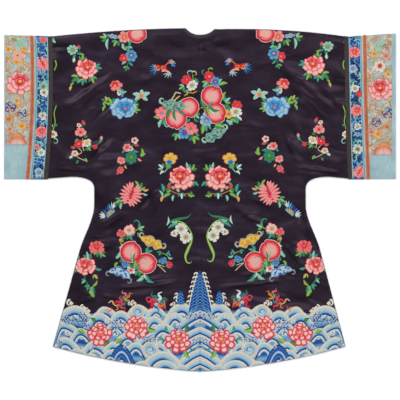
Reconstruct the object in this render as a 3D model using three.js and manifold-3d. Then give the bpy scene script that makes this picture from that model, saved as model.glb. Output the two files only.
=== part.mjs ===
// A gua robe laid flat on its front, in millimetres: +X to the right sleeve end, +Y to the neck, +Z up.
// Each half is one length of lined satin that folds over the shoulder, so the back lies on the front.
import * as THREE from "three";
import { mergeVertices } from "three/addons/utils/BufferGeometryUtils.js";
import Module from "manifold-3d";

const wasm = await Module();
wasm.setup();

// Cloth
const wall = 2.1; // satin with its lining, or the silk of the sleeve ends with theirs
const trimWall = 0.8; // ribbons, braid and embroidered panels
const seamGap = 0.3;
const layerGap = 0.4; // between the back and the front, where they lie closest
const loftHeight = 2.4; // more air between them, away from the edges
const loftReach = 75; // distance from an edge to where the air is full
const cell = 28; // all layers are made over one grid of this size, so that they stay parallel

// The cut, half of which these give; heights are from the middle of the robe's length
const neckHalfWidth = 45;
const bindingWidth = 12;
const sleeveEndX = 626;
const sleeveLowY = 68.5;
const armpitX = 412; // from here the sleeve's lower edge curves down into the side seam
const armpitY = 74.5;
const sideX = 338; // side seam under the arm
const sideTopY = 36;
const flareTopY = -15; // below this the side flares
const flareLowX = 384;
const flareLowY = -160; // below this the side is straight to the hem
const hemCentreY = -548;
const hemQuarterY = -520.5; // the hem, halfway from its centre to its corner

// How far down the neck is cut, and how full its curve is
const necklines = {
  back: { lowY: 528, fullness: 0.6 },
  front: { lowY: 452, fullness: 1 },
};

// Trims go round the sleeve. They are measured outwards from the flowered ribbon's inner edge.
const trims = {
  dark_braid: { start: -13, end: -seamGap },
  flower_ribbon: { start: 0, end: 40 },
  gold_ribbon: { start: 46.5, end: 57.5 },
};
const panelStart = trims.gold_ribbon.end + seamGap;
const joinAt = trims.dark_braid.start / 2; // satin and pale silk meet under the braid
const trimRoom = trimWall + seamGap; // the trims sink this deep into the cloth that rests on them
const pastSleeve = 300; // a distance beyond any sleeve end

// The two sides don't lie quite alike
const sides = [
  {
    name: "left",
    sign: -1,
    neckPointY: 548,
    shoulderX: 250,
    shoulderY: 546,
    bandTopY: 521,
    sleeveTopY: 527,
    hemCornerX: 470,
    hemCornerY: -468.5,
    bandX: 484, // the flowered ribbon's inner edge, halfway down the sleeve
    bandLeanTop: 3, // and how much further out it is at the top and at the bottom
    bandLeanLow: 18,
    panelEndX: 623,
    panelEndY: 176,
  },
  {
    name: "right",
    sign: 1,
    neckPointY: 545,
    shoulderX: 280,
    shoulderY: 550,
    bandTopY: 520,
    sleeveTopY: 531,
    hemCornerX: 465,
    hemCornerY: -468,
    bandX: 478,
    bandLeanTop: -4,
    bandLeanLow: 9,
    panelEndX: 614,
    panelEndY: 144,
  },
];

// The back's largest creases, each a soft ridge along a line, or a trough where its height is below 0
const creases = [
  { x1: -255, y1: 415, x2: -415, y2: 300, height: 5.5, width: 25 },
  { x1: -225, y1: 330, x2: -345, y2: 235, height: 3.5, width: 26 },
  { x1: -262, y1: 190, x2: -352, y2: 108, height: 5.0, width: 26 },
  { x1: -455, y1: 118, x2: -352, y2: 100, height: 3.5, width: 24 },
  { x1: -335, y1: -102, x2: -225, y2: -50, height: 5.0, width: 25 },
  { x1: -120, y1: 25, x2: -185, y2: -55, height: 3.5, width: 26 },
  { x1: -305, y1: -268, x2: -70, y2: -245, height: 5.5, width: 27 },
  { x1: -395, y1: -318, x2: -285, y2: -288, height: 4.0, width: 25 },
  { x1: -45, y1: 500, x2: -10, y2: 440, height: -2.0, width: 26 },
  { x1: 235, y1: 445, x2: 440, y2: 262, height: 6.0, width: 27 },
  { x1: 330, y1: 430, x2: 455, y2: 318, height: 4.0, width: 24 },
  { x1: 262, y1: 232, x2: 325, y2: 118, height: 4.0, width: 26 },
  { x1: 352, y1: 108, x2: 462, y2: 118, height: 5.5, width: 24 },
  { x1: 95, y1: 48, x2: 268, y2: -28, height: 4.5, width: 26 },
  { x1: 72, y1: -18, x2: 215, y2: -98, height: 4.0, width: 26 },
  { x1: 292, y1: -25, x2: 352, y2: -145, height: 4.5, width: 25 },
  { x1: 38, y1: -262, x2: 290, y2: -240, height: 6.0, width: 27 },
  { x1: 165, y1: -305, x2: 315, y2: -288, height: 3.5, width: 25 },
];

const { smoothstep } = THREE.MathUtils;
const point = (side, x, y) => new THREE.Vector2(side.sign * x, y);

// A quadratic curve from start to end that passes through middle
function curveThrough(start, middle, end) {
  const control = middle.clone().multiplyScalar(2);
  control.addScaledVector(start, -0.5);
  control.addScaledVector(end, -0.5);
  return new THREE.QuadraticBezierCurve(start, control, end);
}

// The neckline from the centre to the neck point, moved `out` into the cloth
function neckEdge(side, neckline, out, centreX) {
  const reach = neckHalfWidth + out;
  const lowY = neckline.lowY - out;
  const curve = new THREE.QuadraticBezierCurve(
    point(side, centreX, lowY),
    point(side, reach * neckline.fullness, lowY),
    point(side, reach, side.neckPointY),
  );
  return curve.getPoints(8);
}

// The shoulder and the top of the sleeve, from the neck point out
function topEdge(side, out) {
  const bandPoint = point(side, side.bandX, side.bandTopY);
  const shoulder = new THREE.QuadraticBezierCurve(
    point(side, neckHalfWidth + out, side.neckPointY),
    point(side, side.shoulderX, side.shoulderY),
    bandPoint,
  );
  const sleeveTop = curveThrough(
    bandPoint,
    point(side, (side.bandX + sleeveEndX) / 2, side.bandTopY * 0.4 + side.sleeveTopY * 0.6),
    point(side, sleeveEndX, side.sleeveTopY),
  );
  return [...shoulder.getPoints(10), ...sleeveTop.getPoints(4).slice(1)];
}

// The underside of the sleeve, the side seam and the hem, from the sleeve's end to the centre
function lowEdge(side) {
  const underarm = new THREE.QuadraticBezierCurve(
    point(side, armpitX, armpitY),
    point(side, sideX, armpitY),
    point(side, sideX, sideTopY),
  );
  const corner = point(side, side.hemCornerX, side.hemCornerY);
  const slope = (side.hemCornerX - flareLowX) / (flareLowY - side.hemCornerY);
  const flareLength = flareTopY - flareLowY;
  const flare = new THREE.CubicBezierCurve(
    point(side, sideX, flareTopY),
    point(side, sideX, flareTopY - flareLength / 3),
    point(side, flareLowX - (slope * flareLength) / 3, flareLowY + flareLength / 3),
    point(side, flareLowX, flareLowY),
  );
  const hem = curveThrough(
    corner,
    point(side, side.hemCornerX / 2, hemQuarterY),
    point(side, seamGap / 2, hemCentreY),
  );
  const sleeveEnd = point(side, sleeveEndX, sleeveLowY);
  const bandEnd = point(side, side.bandX, sleeveLowY);
  return [sleeveEnd, bandEnd, ...underarm.getPoints(7), ...flare.getPoints(7), ...hem.getPoints(12)];
}

// One half of the robe, sleeve end and all, with its neck cut `out` past the neckline
function halfOutline(side, neckline, out = 0) {
  return [...neckEdge(side, neckline, out, seamGap / 2), ...topEdge(side, out).slice(1), ...lowEdge(side)];
}

const [leftOutline, rightOutline] = sides.map((side) => halfOutline(side, necklines.back));
const backOutline = (side) => (side.sign < 0 ? leftOutline : rightOutline);

// Distance from a spot to the edge of the robe's back, or 0 outside it; the centre seam is no edge
function distanceInside(x, y) {
  const outline = x < 0 ? leftOutline : rightOutline;
  const spot = new THREE.Vector3(x, y, 0);
  const nearest = new THREE.Vector3();
  const line = new THREE.Line3();
  let best = Infinity;
  let inside = Math.abs(x) <= seamGap;
  for (const [i, from] of outline.entries()) {
    const to = outline[(i + 1) % outline.length];
    const lineY = from.y + ((x - from.x) * (to.y - from.y)) / (to.x - from.x);
    if (from.x > x !== to.x > x && y < lineY) {
      inside = !inside;
    }
    if (i < outline.length - 1) {
      line.start.set(from.x, from.y, 0);
      line.end.set(to.x, to.y, 0);
      line.closestPointToPoint(spot, true, nearest);
      best = Math.min(best, nearest.distanceTo(spot));
    }
  }
  return inside ? best : 0;
}

function creaseHeight(x, y) {
  let sum = 0;
  for (const { x1, y1, x2, y2, height, width } of creases) {
    const length = Math.hypot(x2 - x1, y2 - y1);
    const along = ((x - x1) * (x2 - x1) + (y - y1) * (y2 - y1)) / length;
    const across = ((x - x1) * (y2 - y1) - (y - y1) * (x2 - x1)) / length;
    const start = smoothstep(along, -width, length * 0.4);
    const end = 1 - smoothstep(along, length * 0.6, length + width);
    sum += height * start * end * Math.exp(-((across / width) ** 2));
  }
  return sum;
}

// The back's underside and what lies on it, over the surface that the robe lies on
function backLow(x, y) {
  const inside = distanceInside(x, y);
  const loft = loftHeight * smoothstep(inside, 0, loftReach);
  const crease = creaseHeight(x, y) * smoothstep(inside, 0, loftReach / 2);
  return wall + layerGap + Math.max(0, loft + crease);
}

const backTop = (x, y) => backLow(x, y) + wall;
const trimLow = (x, y) => backTop(x, y) + seamGap;
const trimTop = (x, y) => trimLow(x, y) + trimWall;
const ground = () => 0;

function manifoldOf(geometry) {
  geometry.deleteAttribute("normal");
  geometry.deleteAttribute("uv");
  const merged = mergeVertices(geometry, 1e-4);
  return new wasm.Manifold(
    new wasm.Mesh({
      numProp: 3,
      vertProperties: new Float32Array(merged.getAttribute("position").array),
      triVerts: new Uint32Array(merged.index.array),
    }),
  );
}

// The cloth between two heights, over the grid's cells that cover a set of points
function sheet(points, low, high) {
  const box = new THREE.Box2().setFromPoints(points);
  const first = box.min.divideScalar(cell).floor();
  const last = box.max.divideScalar(cell).ceil();
  const columns = last.x - first.x;
  const rows = last.y - first.y;
  const positions = [];
  for (const height of [low, high]) {
    for (let row = 0; row <= rows; row++) {
      for (let column = 0; column <= columns; column++) {
        const x = (first.x + column) * cell;
        const y = (first.y + row) * cell;
        positions.push(x, y, height(x, y));
      }
    }
  }
  const layer = (columns + 1) * (rows + 1);
  const at = (column, row, level) => level * layer + row * (columns + 1) + column;
  const index = [];
  const quad = (a, b, c, d) => index.push(a, b, c, a, c, d);
  for (let row = 0; row < rows; row++) {
    for (let column = 0; column < columns; column++) {
      const [a, b] = [at(column, row, 1), at(column + 1, row, 1)];
      const [c, d] = [at(column + 1, row + 1, 1), at(column, row + 1, 1)];
      quad(a, b, c, d);
      index.push(a - layer, c - layer, b - layer, a - layer, d - layer, c - layer);
    }
  }
  for (let column = 0; column < columns; column++) {
    quad(at(column, 0, 0), at(column + 1, 0, 0), at(column + 1, 0, 1), at(column, 0, 1));
    quad(at(column + 1, rows, 0), at(column, rows, 0), at(column, rows, 1), at(column + 1, rows, 1));
  }
  for (let row = 0; row < rows; row++) {
    quad(at(columns, row, 0), at(columns, row + 1, 0), at(columns, row + 1, 1), at(columns, row, 1));
    quad(at(0, row + 1, 0), at(0, row, 0), at(0, row, 1), at(0, row + 1, 1));
  }
  const geometry = new THREE.BufferGeometry();
  geometry.setAttribute("position", new THREE.Float32BufferAttribute(positions, 3));
  geometry.setIndex(index);
  return manifoldOf(geometry);
}

const farBelow = -20;
const farAbove = 60;

// An upright block with the given outline, by default taller than the robe is thick
function block(points, low = farBelow, high = farAbove) {
  const settings = { depth: high - low, bevelEnabled: false };
  const geometry = new THREE.ExtrudeGeometry(new THREE.Shape(points), settings);
  geometry.translate(0, 0, low);
  return manifoldOf(geometry);
}

const backPanel = (points) => sheet(points, backLow, backTop).intersect(block(points));
const frontPanel = (points) => block(points, 0, wall);

// The stretch of sleeve between two lines across it, past its upper and lower edges
function acrossSleeve(side, start, end, low, high) {
  const steps = 12;
  const margin = 25;
  const depth = side.sleeveTopY - sleeveLowY + 2 * margin;
  const line = (out) =>
    Array.from({ length: steps + 1 }, (_, i) => {
      const t = 1 - (2 * i) / steps; // 1 at the top, -1 at the bottom
      const slant = (side.bandLeanTop - side.bandLeanLow) / 2;
      const bow = (side.bandLeanTop + side.bandLeanLow) / 2;
      const lean = slant * t + bow * t * t;
      return point(side, side.bandX + out + lean, sleeveLowY - margin + (depth * (t + 1)) / 2);
    });
  return block([...line(start), ...line(end).reverse()], low, high);
}

function rectangle(side, x1, x2, y1, y2) {
  return block([point(side, x1, y1), point(side, x2, y1), point(side, x2, y2), point(side, x1, y2)]);
}

// The narrow strip where the back turns over into the front along the shoulder and the sleeve's top
function shoulderFold(side, startX, endX) {
  const points = halfOutline(side, necklines.front);
  const whole = block(points);
  const edge = whole.subtract(whole.translate([0, -wall, 0]));
  const upper = rectangle(side, startX, endX, side.bandTopY - 20, side.neckPointY + 20);
  return sheet(points, ground, backTop).intersect(edge).intersect(upper);
}

// The same along the sleeve's lower edge
function underFold(side) {
  const points = halfOutline(side, necklines.front);
  const whole = block(points);
  const edge = whole.subtract(whole.translate([0, wall, 0]));
  return sheet(points, ground, backTop).intersect(edge);
}

// Room in the front's underside for the trims that pass below it
function trimPockets(side) {
  const { dark_braid: braid, flower_ribbon: flowers, gold_ribbon: gold } = trims;
  const wide = acrossSleeve(side, braid.start - seamGap, flowers.end + seamGap, farBelow, trimRoom);
  return wide.add(acrossSleeve(side, gold.start - seamGap, gold.end + seamGap, farBelow, trimRoom));
}

function bodyHalf(side) {
  const out = bindingWidth + seamGap;
  const back = backPanel(halfOutline(side, necklines.back, out));
  const front = frontPanel(halfOutline(side, necklines.front, out));
  const fold = shoulderFold(side, neckHalfWidth + out, sleeveEndX);
  const pastJoin = acrossSleeve(side, joinAt - seamGap / 2, pastSleeve);
  return back.add(front).add(fold).subtract(pastJoin).subtract(trimPockets(side));
}

function cuff(side) {
  const outline = halfOutline(side, necklines.back);
  const tube = backPanel(outline).add(frontPanel(outline));
  const folds = shoulderFold(side, side.bandX - pastSleeve, sleeveEndX).add(underFold(side));
  const stretch = acrossSleeve(side, joinAt + seamGap / 2, pastSleeve);
  return tube.add(folds).intersect(stretch).subtract(trimPockets(side));
}

// The sleeve's outline, spread by a distance past its upper and lower edges
function spreadSleeve(side, distance) {
  const sleeve = block(backOutline(side));
  return sleeve.translate([0, distance, 0]).add(sleeve.translate([0, -distance, 0]));
}

function trimRing(side, { start, end }) {
  const stretch = acrossSleeve(side, start, end);
  const outer = spreadSleeve(side, trimRoom).intersect(stretch);
  const edges = outer.subtract(spreadSleeve(side, seamGap));
  const nearCorner = point(side, side.bandX - 40, sleeveLowY - 10);
  const area = [nearCorner, point(side, sleeveEndX, side.sleeveTopY + 10)];
  const upper = sheet(area, trimLow, trimTop).intersect(outer);
  const lower = outer.intersect(acrossSleeve(side, start, end, 0, trimWall));
  return upper.add(lower).add(sheet(area, ground, trimTop).intersect(edges));
}

function sleevePanel(side) {
  const border = 1.5; // left bare along the fold
  const sleeve = block(backOutline(side)).translate([0, -border, 0]);
  const region = rectangle(side, side.bandX, side.panelEndX, side.panelEndY, side.sleeveTopY);
  const stretch = region.intersect(acrossSleeve(side, panelStart, pastSleeve));
  return sheet(backOutline(side), trimLow, trimTop).intersect(sleeve).intersect(stretch);
}

// The strip round the neck: whole at the back, over both shoulders, and parted at the front opening
function neckBinding() {
  const inner = sides.map((side) => neckEdge(side, necklines.back, 0, 0));
  const outer = sides.map((side) => neckEdge(side, necklines.back, bindingWidth, 0));
  const across = ([left, right]) => [...left.reverse(), ...right.slice(1)];
  const back = [...across(inner), ...across(outer).reverse()];
  let binding = backPanel(back);
  for (const side of sides) {
    const front = [
      ...neckEdge(side, necklines.front, 0, seamGap / 2),
      ...neckEdge(side, necklines.front, bindingWidth, seamGap / 2).reverse(),
    ];
    binding = binding.add(frontPanel(front));
    const fold = shoulderFold(side, neckHalfWidth, neckHalfWidth + bindingWidth);
    binding = binding.add(fold.intersect(block(back)));
  }
  return binding;
}

const satin = { color: 0x2b242f, roughness: 0.42, metalness: 0 };
const paleSilk = { color: 0x9dbcc0, roughness: 0.5, metalness: 0 };
const neckSilk = { color: 0x3a3a46, roughness: 0.6, metalness: 0 };
const trimFinishes = {
  dark_braid: { color: 0x3e3535, roughness: 0.8, metalness: 0 },
  flower_ribbon: { color: 0x6d7a80, roughness: 0.6, metalness: 0 },
  gold_ribbon: { color: 0xac6139, roughness: 0.6, metalness: 0 },
};
const panelFinish = { color: 0xa38f78, roughness: 0.65, metalness: 0 };

const robe = new THREE.Group();
robe.name = "gua_robe";

function addPiece(name, solid, finish) {
  const { vertProperties, triVerts } = solid.getMesh();
  const geometry = new THREE.BufferGeometry();
  geometry.setAttribute("position", new THREE.BufferAttribute(new Float32Array(vertProperties), 3));
  geometry.setIndex(new THREE.BufferAttribute(new Uint32Array(triVerts), 1));
  geometry.computeVertexNormals();
  const mesh = new THREE.Mesh(geometry, new THREE.MeshStandardMaterial(finish));
  mesh.name = name;
  robe.add(mesh);
}

for (const side of sides) {
  addPiece(`body_${side.name}`, bodyHalf(side), satin);
  addPiece(`cuff_${side.name}`, cuff(side), paleSilk);
  addPiece(`sleeve_panel_${side.name}`, sleevePanel(side), panelFinish);
  for (const [name, span] of Object.entries(trims)) {
    addPiece(`${name}_${side.name}`, trimRing(side, span), trimFinishes[name]);
  }
}
addPiece("neck_binding", neckBinding(), neckSilk);

export default robe;
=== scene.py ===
import math
import random

import bmesh
import bpy
import numpy as np
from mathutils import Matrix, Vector
from mathutils.geometry import delaunay_2d_cdt


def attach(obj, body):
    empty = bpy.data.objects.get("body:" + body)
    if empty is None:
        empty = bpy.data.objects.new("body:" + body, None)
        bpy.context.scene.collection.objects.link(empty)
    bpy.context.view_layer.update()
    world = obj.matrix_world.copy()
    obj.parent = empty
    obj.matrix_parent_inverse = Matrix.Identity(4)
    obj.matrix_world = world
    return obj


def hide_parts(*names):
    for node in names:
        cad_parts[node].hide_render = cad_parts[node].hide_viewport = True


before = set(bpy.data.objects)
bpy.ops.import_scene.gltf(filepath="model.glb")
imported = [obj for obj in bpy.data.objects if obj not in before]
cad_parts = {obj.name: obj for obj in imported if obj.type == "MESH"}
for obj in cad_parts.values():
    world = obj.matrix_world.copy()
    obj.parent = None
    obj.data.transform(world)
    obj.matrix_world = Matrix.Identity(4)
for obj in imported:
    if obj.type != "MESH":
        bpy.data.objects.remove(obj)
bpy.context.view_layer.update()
scene = bpy.context.scene
mm = 0.001

studio = {  # camera, lights and floor
    "viewWidth": 1.28,  # m of floor that the picture takes in
    "cameraHeight": 3.6,
    "floorSize": 14,
    "floorColour": (0.98, 0.98, 0.98),
    "worldStrength": 0.3,
    # name, place, size, watts
    "lights": [
        ("key", (-1.9, 2.4, 2.3), 1.0, 68),
        ("rim", (1.9, 2.1, 2.5), 0.9, 50),
        ("low", (0.4, -2.6, 2.7), 1.4, 60),
    ],
}


def addObject(name, data):
    made = bpy.data.objects.new(name, data)
    scene.collection.objects.link(made)
    return made


def makeStudio():
    camera = addObject("camera", bpy.data.cameras.new("camera"))
    camera.location = (0, 0, studio["cameraHeight"])
    camera.data.sensor_width = 36
    camera.data.lens = 36 * studio["cameraHeight"] / studio["viewWidth"]
    scene.camera = camera

    world = bpy.data.worlds.new("world")
    world.use_nodes = True
    background = world.node_tree.nodes["Background"]
    background.inputs["Color"].default_value = (0.95, 0.97, 1.0, 1)
    background.inputs["Strength"].default_value = studio["worldStrength"]
    scene.world = world
    scene.view_settings.view_transform = "Standard"

    for name, place, size, watts in studio["lights"]:
        light = bpy.data.lights.new(name, "AREA")
        light.size = size
        light.energy = watts
        lamp = addObject(name, light)
        lamp.location = place
        lamp.rotation_euler = Vector(place).to_track_quat("Z", "Y").to_euler()

    half = studio["floorSize"] / 2
    mesh = bpy.data.meshes.new("floor")
    corners = [(-half, -half, 0), (half, -half, 0), (half, half, 0), (-half, half, 0)]
    mesh.from_pydata(corners, [], [(0, 1, 2, 3)])
    floor = addObject("floor", mesh)
    paint = bpy.data.materials.new("floorPaint")
    paint.use_nodes = True
    shader = paint.node_tree.nodes["Principled BSDF"]
    shader.inputs["Base Color"].default_value = (*studio["floorColour"], 1)
    shader.inputs["Roughness"].default_value = 0.9
    shader.inputs["Specular IOR Level"].default_value = 0.0
    mesh.materials.append(paint)


makeStudio()
print("studio ready")

# the cut, in mm: X counts outwards from the centre seam on either side, Y is up towards the neck
cut = {
    "neckHalfWidth": 45,
    "bindingWidth": 12,
    "seamGap": 0.3,
    "sleeveEndX": 626,
    "sleeveLowY": 68.5,
    "armpit": (412, 74.5),
    "sideTop": (338, 36),
    "flareTop": (338, -15),
    "flareLow": (384, -160),
    "hemCentreY": -548,
    "hemQuarterY": -520.5,
    "joinAt": -6.5,  # satin meets pale silk here, measured out from the flowered ribbon
    "lineMargin": 25,  # lines across the sleeve run this far past its edges
}
necklines = {"back": (528, 0.6), "front": (452, 1.0)}  # how far down it is cut, and its fullness
halves = {
    "left": {
        "sign": -1, "neckPointY": 548, "shoulder": (250, 546), "bandTopY": 521, "sleeveTopY": 527,
        "hemCorner": (470, -468.5), "bandX": 484, "leanTop": 3, "leanLow": 18, "panelEnd": (623, 176),
    },
    "right": {
        "sign": 1, "neckPointY": 545, "shoulder": (280, 550), "bandTopY": 520, "sleeveTopY": 531,
        "hemCorner": (465, -468), "bandX": 478, "leanTop": -4, "leanLow": 9, "panelEnd": (614, 144),
    },
}
for halfName, half in halves.items():
    half["name"] = halfName

trims = {  # start and end, measured out from the flowered ribbon's inner edge
    "dark_braid": (-13, -0.3),
    "flower_ribbon": (0, 40),
    "gold_ribbon": (46.5, 57.5),
}


def quadratic(start, control, end, count=24):
    t = np.linspace(0, 1, count + 1)[:, None]
    a, b, c = (np.array(p, float) for p in (start, control, end))
    return (1 - t) ** 2 * a + 2 * t * (1 - t) * b + t**2 * c


def curveThrough(start, middle, end, count=24):
    a, m, c = (np.array(p, float) for p in (start, middle, end))
    return quadratic(a, 2 * m - (a + c) / 2, c, count)


def cubic(a, b, c, d, count=24):
    t = np.linspace(0, 1, count + 1)[:, None]
    a, b, c, d = (np.array(p, float) for p in (a, b, c, d))
    return (1 - t) ** 3 * a + 3 * t * (1 - t) ** 2 * b + 3 * t**2 * (1 - t) * c + t**3 * d


def neckEdge(half, kind, out=0, centreX=0.15):
    lowY, fullness = necklines[kind]
    reach = cut["neckHalfWidth"] + out
    return quadratic(
        (centreX, lowY - out), (reach * fullness, lowY - out), (reach, half["neckPointY"]), 16
    )


def topEdge(half, out=0):
    bandPoint = (half["bandX"], half["bandTopY"])
    neckPoint = (cut["neckHalfWidth"] + out, half["neckPointY"])
    sleeveEnd = cut["sleeveEndX"]
    middle = ((half["bandX"] + sleeveEnd) / 2, half["bandTopY"] * 0.4 + half["sleeveTopY"] * 0.6)
    shoulder = quadratic(neckPoint, half["shoulder"], bandPoint, 40)
    sleeve = curveThrough(bandPoint, middle, (sleeveEnd, half["sleeveTopY"]), 12)
    return np.vstack([shoulder, sleeve[1:]])


def lowEdge(half):
    (cornerX, cornerY), (lowX, lowY), (highX, highY) = half["hemCorner"], cut["flareLow"], cut["flareTop"]
    slope = (cornerX - lowX) / (lowY - cornerY)
    third = (highY - lowY) / 3
    underarm = quadratic(cut["armpit"], (cut["sideTop"][0], cut["armpit"][1]), cut["sideTop"], 12)
    flare = cubic(
        (highX, highY), (highX, highY - third), (lowX - slope * third, lowY + third), (lowX, lowY), 12
    )
    hem = curveThrough((cornerX, cornerY), (cornerX / 2, cut["hemQuarterY"]), (0.15, cut["hemCentreY"]), 30)
    sleeve = [(cut["sleeveEndX"], cut["sleeveLowY"]), (half["bandX"], cut["sleeveLowY"])]
    return np.vstack([sleeve, underarm, flare, hem])


def topY(half, x):
    edge = topEdge(half)
    return np.interp(x, edge[:, 0], edge[:, 1])


def underY(half, x):  # the sleeve's lower edge
    return np.interp(x, [cut["armpit"][0], half["bandX"]], [cut["armpit"][1], cut["sleeveLowY"]])


def hemY(half, x):
    edge = lowEdge(half)[-31:][::-1]
    return np.interp(x, edge[:, 0], edge[:, 1])


def lineX(half, out, y):  # a line across the sleeve
    low = cut["sleeveLowY"] - cut["lineMargin"]
    depth = half["sleeveTopY"] - cut["sleeveLowY"] + 2 * cut["lineMargin"]
    t = 2 * (y - low) / depth - 1
    slant = (half["leanTop"] - half["leanLow"]) / 2
    bow = (half["leanTop"] + half["leanLow"]) / 2
    return half["bandX"] + out + slant * t + bow * t**2


def sideLimit(half, y):  # how far out the satin of the body reaches at a height
    edge = lowEdge(half)[2:]
    edge = edge[edge[:, 0] <= half["hemCorner"][0] + 0.1][:-30][::-1]
    onSide = np.interp(y, edge[:, 1], edge[:, 0])
    return np.where(y < cut["armpit"][1], onSide, lineX(half, trims["dark_braid"][0], y))


def resample(points, spacing=1.0, count=0):  # evenly, in so many steps or in steps of about the spacing
    points = np.array(points, float)
    steps = np.hypot(*np.diff(points, axis=0).T)
    along = np.concatenate([[0], np.cumsum(steps)])
    count = count or max(1, round(along[-1] / spacing))
    wanted = np.linspace(0, along[-1], count + 1)
    return np.stack([np.interp(wanted, along, points[:, k]) for k in (0, 1)], 1)


cloth = {  # how high it lies, in mm
    "wall": 1.3,
    "edgeTop": 4.6,  # the back's upper face beside an edge
    "edgeDrop": 1.3,  # and how much of it rolls down at the very edge
    "edgeReach": 10,
    "loft": 2.4,
    "loftReach": 75,
    "seamDip": 0.5,  # the centre seam pulls in a little,
    "seamRidge": 0.2,  # and the cloth stands up on either side of it
    "fineGain": 1.4,
    "ripple": 0.25,
    "frontLift": 0.6,  # the front rises over the ribbons that pass below it
    "trimLift": 0.85,  # top of a ribbon over the cloth
    "trimWall": 0.6,
}

# x1, y1, x2, y2, height, width: soft ridges, the same as the solids have
creases = [
    (-255, 415, -415, 300, 5.5, 25), (-225, 330, -345, 235, 3.5, 26), (-262, 190, -352, 108, 5.0, 26),
    (-455, 118, -352, 100, 3.5, 24), (-335, -102, -225, -50, 5.0, 25), (-120, 25, -185, -55, 3.5, 26),
    (-305, -268, -70, -245, 5.5, 27), (-395, -318, -285, -288, 4.0, 25), (-45, 500, -10, 440, -2.0, 26),
    (235, 445, 440, 262, 6.0, 27), (330, 430, 455, 318, 4.0, 24), (262, 232, 325, 118, 4.0, 26),
    (352, 108, 462, 118, 5.5, 24), (95, 48, 268, -28, 4.5, 26), (72, -18, 215, -98, 4.0, 26),
    (292, -25, 352, -145, 4.5, 25), (38, -262, 290, -240, 6.0, 27), (165, -305, 315, -288, 3.5, 25),
]
# sharper creases on and beside them
fineCreases = [
    (-250, 418, -420, 300, 1.9, 9), (-228, 338, -340, 236, 1.7, 9), (-290, 352, -395, 262, 1.0, 8),
    (-480, 490, -395, 488, -1.5, 9), (-270, 194, -348, 112, 2.0, 9), (-300, 205, -362, 150, 1.0, 8),
    (-470, 112, -352, 108, 1.8, 8), (-332, 50, -306, 8, 1.3, 8), (-128, 34, -192, -52, 1.5, 9),
    (-100, 12, -150, -70, 0.8, 8), (-326, -84, -238, -34, 1.8, 9), (-360, -100, -300, -116, 1.4, 8),
    (-355, -146, -268, -128, 1.6, 9), (-300, -272, -60, -246, 2.0, 9), (-270, -238, -120, -222, 1.0, 9),
    (-402, -322, -330, -294, 1.6, 8), (-325, -288, -238, -312, 1.3, 8), (-150, 300, -120, 235, 0.7, 9),
    (-36, 478, 26, 478, -1.4, 8), (14, 494, 100, 520, 1.2, 8), (-92, 515, -40, 492, 0.9, 8),
    (236, 450, 408, 312, 2.0, 9), (268, 402, 450, 236, 1.8, 9), (350, 348, 436, 278, 1.2, 8),
    (386, 362, 466, 292, 1.4, 8), (300, 350, 380, 270, 0.9, 8), (270, 242, 322, 124, 1.8, 9),
    (300, 250, 345, 168, 1.0, 8), (350, 112, 466, 94, 2.0, 8), (110, 50, 244, -20, 1.8, 9),
    (78, 2, 244, -84, 1.7, 9), (318, 2, 370, -116, 1.6, 9), (270, -128, 338, -196, 1.7, 9),
    (150, 90, 225, 62, 0.8, 9), (44, -268, 292, -240, 2.0, 9), (90, -236, 230, -214, 1.0, 9),
    (205, -272, 290, -306, 1.6, 8), (330, -300, 400, -335, 1.0, 8), (560, 300, 610, 250, 0.7, 10),
    (-600, 280, -545, 250, 0.7, 10),
]


def smooth(t):
    t = np.clip(t, 0, 1)
    return t * t * (3 - 2 * t)


def backOutline(half):
    return np.vstack([neckEdge(half, "back"), topEdge(half)[1:], lowEdge(half)])


outlines = {name: backOutline(half) for name, half in halves.items()}


def edgeDistance(points, starts, ends):  # to the nearest of some edges
    nearest = np.full(len(points), 1e9)
    for p, q in zip(starts, ends):
        edge = q - p
        along = np.clip((points - p) @ edge / max(edge @ edge, 1e-9), 0, 1)
        away = points - p - along[:, None] * edge
        nearest = np.minimum(nearest, np.hypot(away[:, 0], away[:, 1]))
    return nearest


def insideLoop(points, loop, axis):  # counts the edges beyond each point, at the same place on the axis
    inside = np.zeros(len(points), bool)
    other = 1 - axis
    for p, q in zip(loop, np.roll(loop, -1, axis=0)):
        if p[axis] != q[axis]:
            spans = (p[axis] > points[:, axis]) != (q[axis] > points[:, axis])
            crossing = p[other] + (points[:, axis] - p[axis]) * (q[other] - p[other]) / (q[axis] - p[axis])
            inside ^= spans & (points[:, other] < crossing)
    return inside


def insideDistance(xy):  # from the robe's edge, or 0 outside it; the centre seam is no edge
    result = np.zeros(len(xy))
    for name, half in halves.items():
        mine = xy[:, 0] * half["sign"] >= 0
        points = np.stack([np.abs(xy[mine, 0]), xy[mine, 1]], 1)
        outline = outlines[name]
        nearest = edgeDistance(points, outline[:-1], outline[1:])
        inside = insideLoop(points, outline, 0) | (points[:, 0] < cut["seamGap"])
        result[mine] = np.where(inside, nearest, 0)
    return result


def creaseSum(xy, rows, lipped=False):
    total = np.zeros(len(xy))
    for x1, y1, x2, y2, height, width in rows:
        length = math.hypot(x2 - x1, y2 - y1)
        way = np.array([x2 - x1, y2 - y1]) / length
        offset = xy - np.array([x1, y1])
        along = offset @ way
        across = offset[:, 0] * way[1] - offset[:, 1] * way[0]
        rise = smooth((along + width) / (0.4 * length + width))
        fall = 1 - smooth((along - 0.6 * length) / (0.4 * length + width))
        profile = np.exp(-((across / width) ** 2))
        if lipped:  # a trough runs along one side of a sharp crease
            profile = profile - 0.6 * np.exp(-((across / width - 1.7) ** 2))
        total += height * rise * fall * profile
    return total


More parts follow.
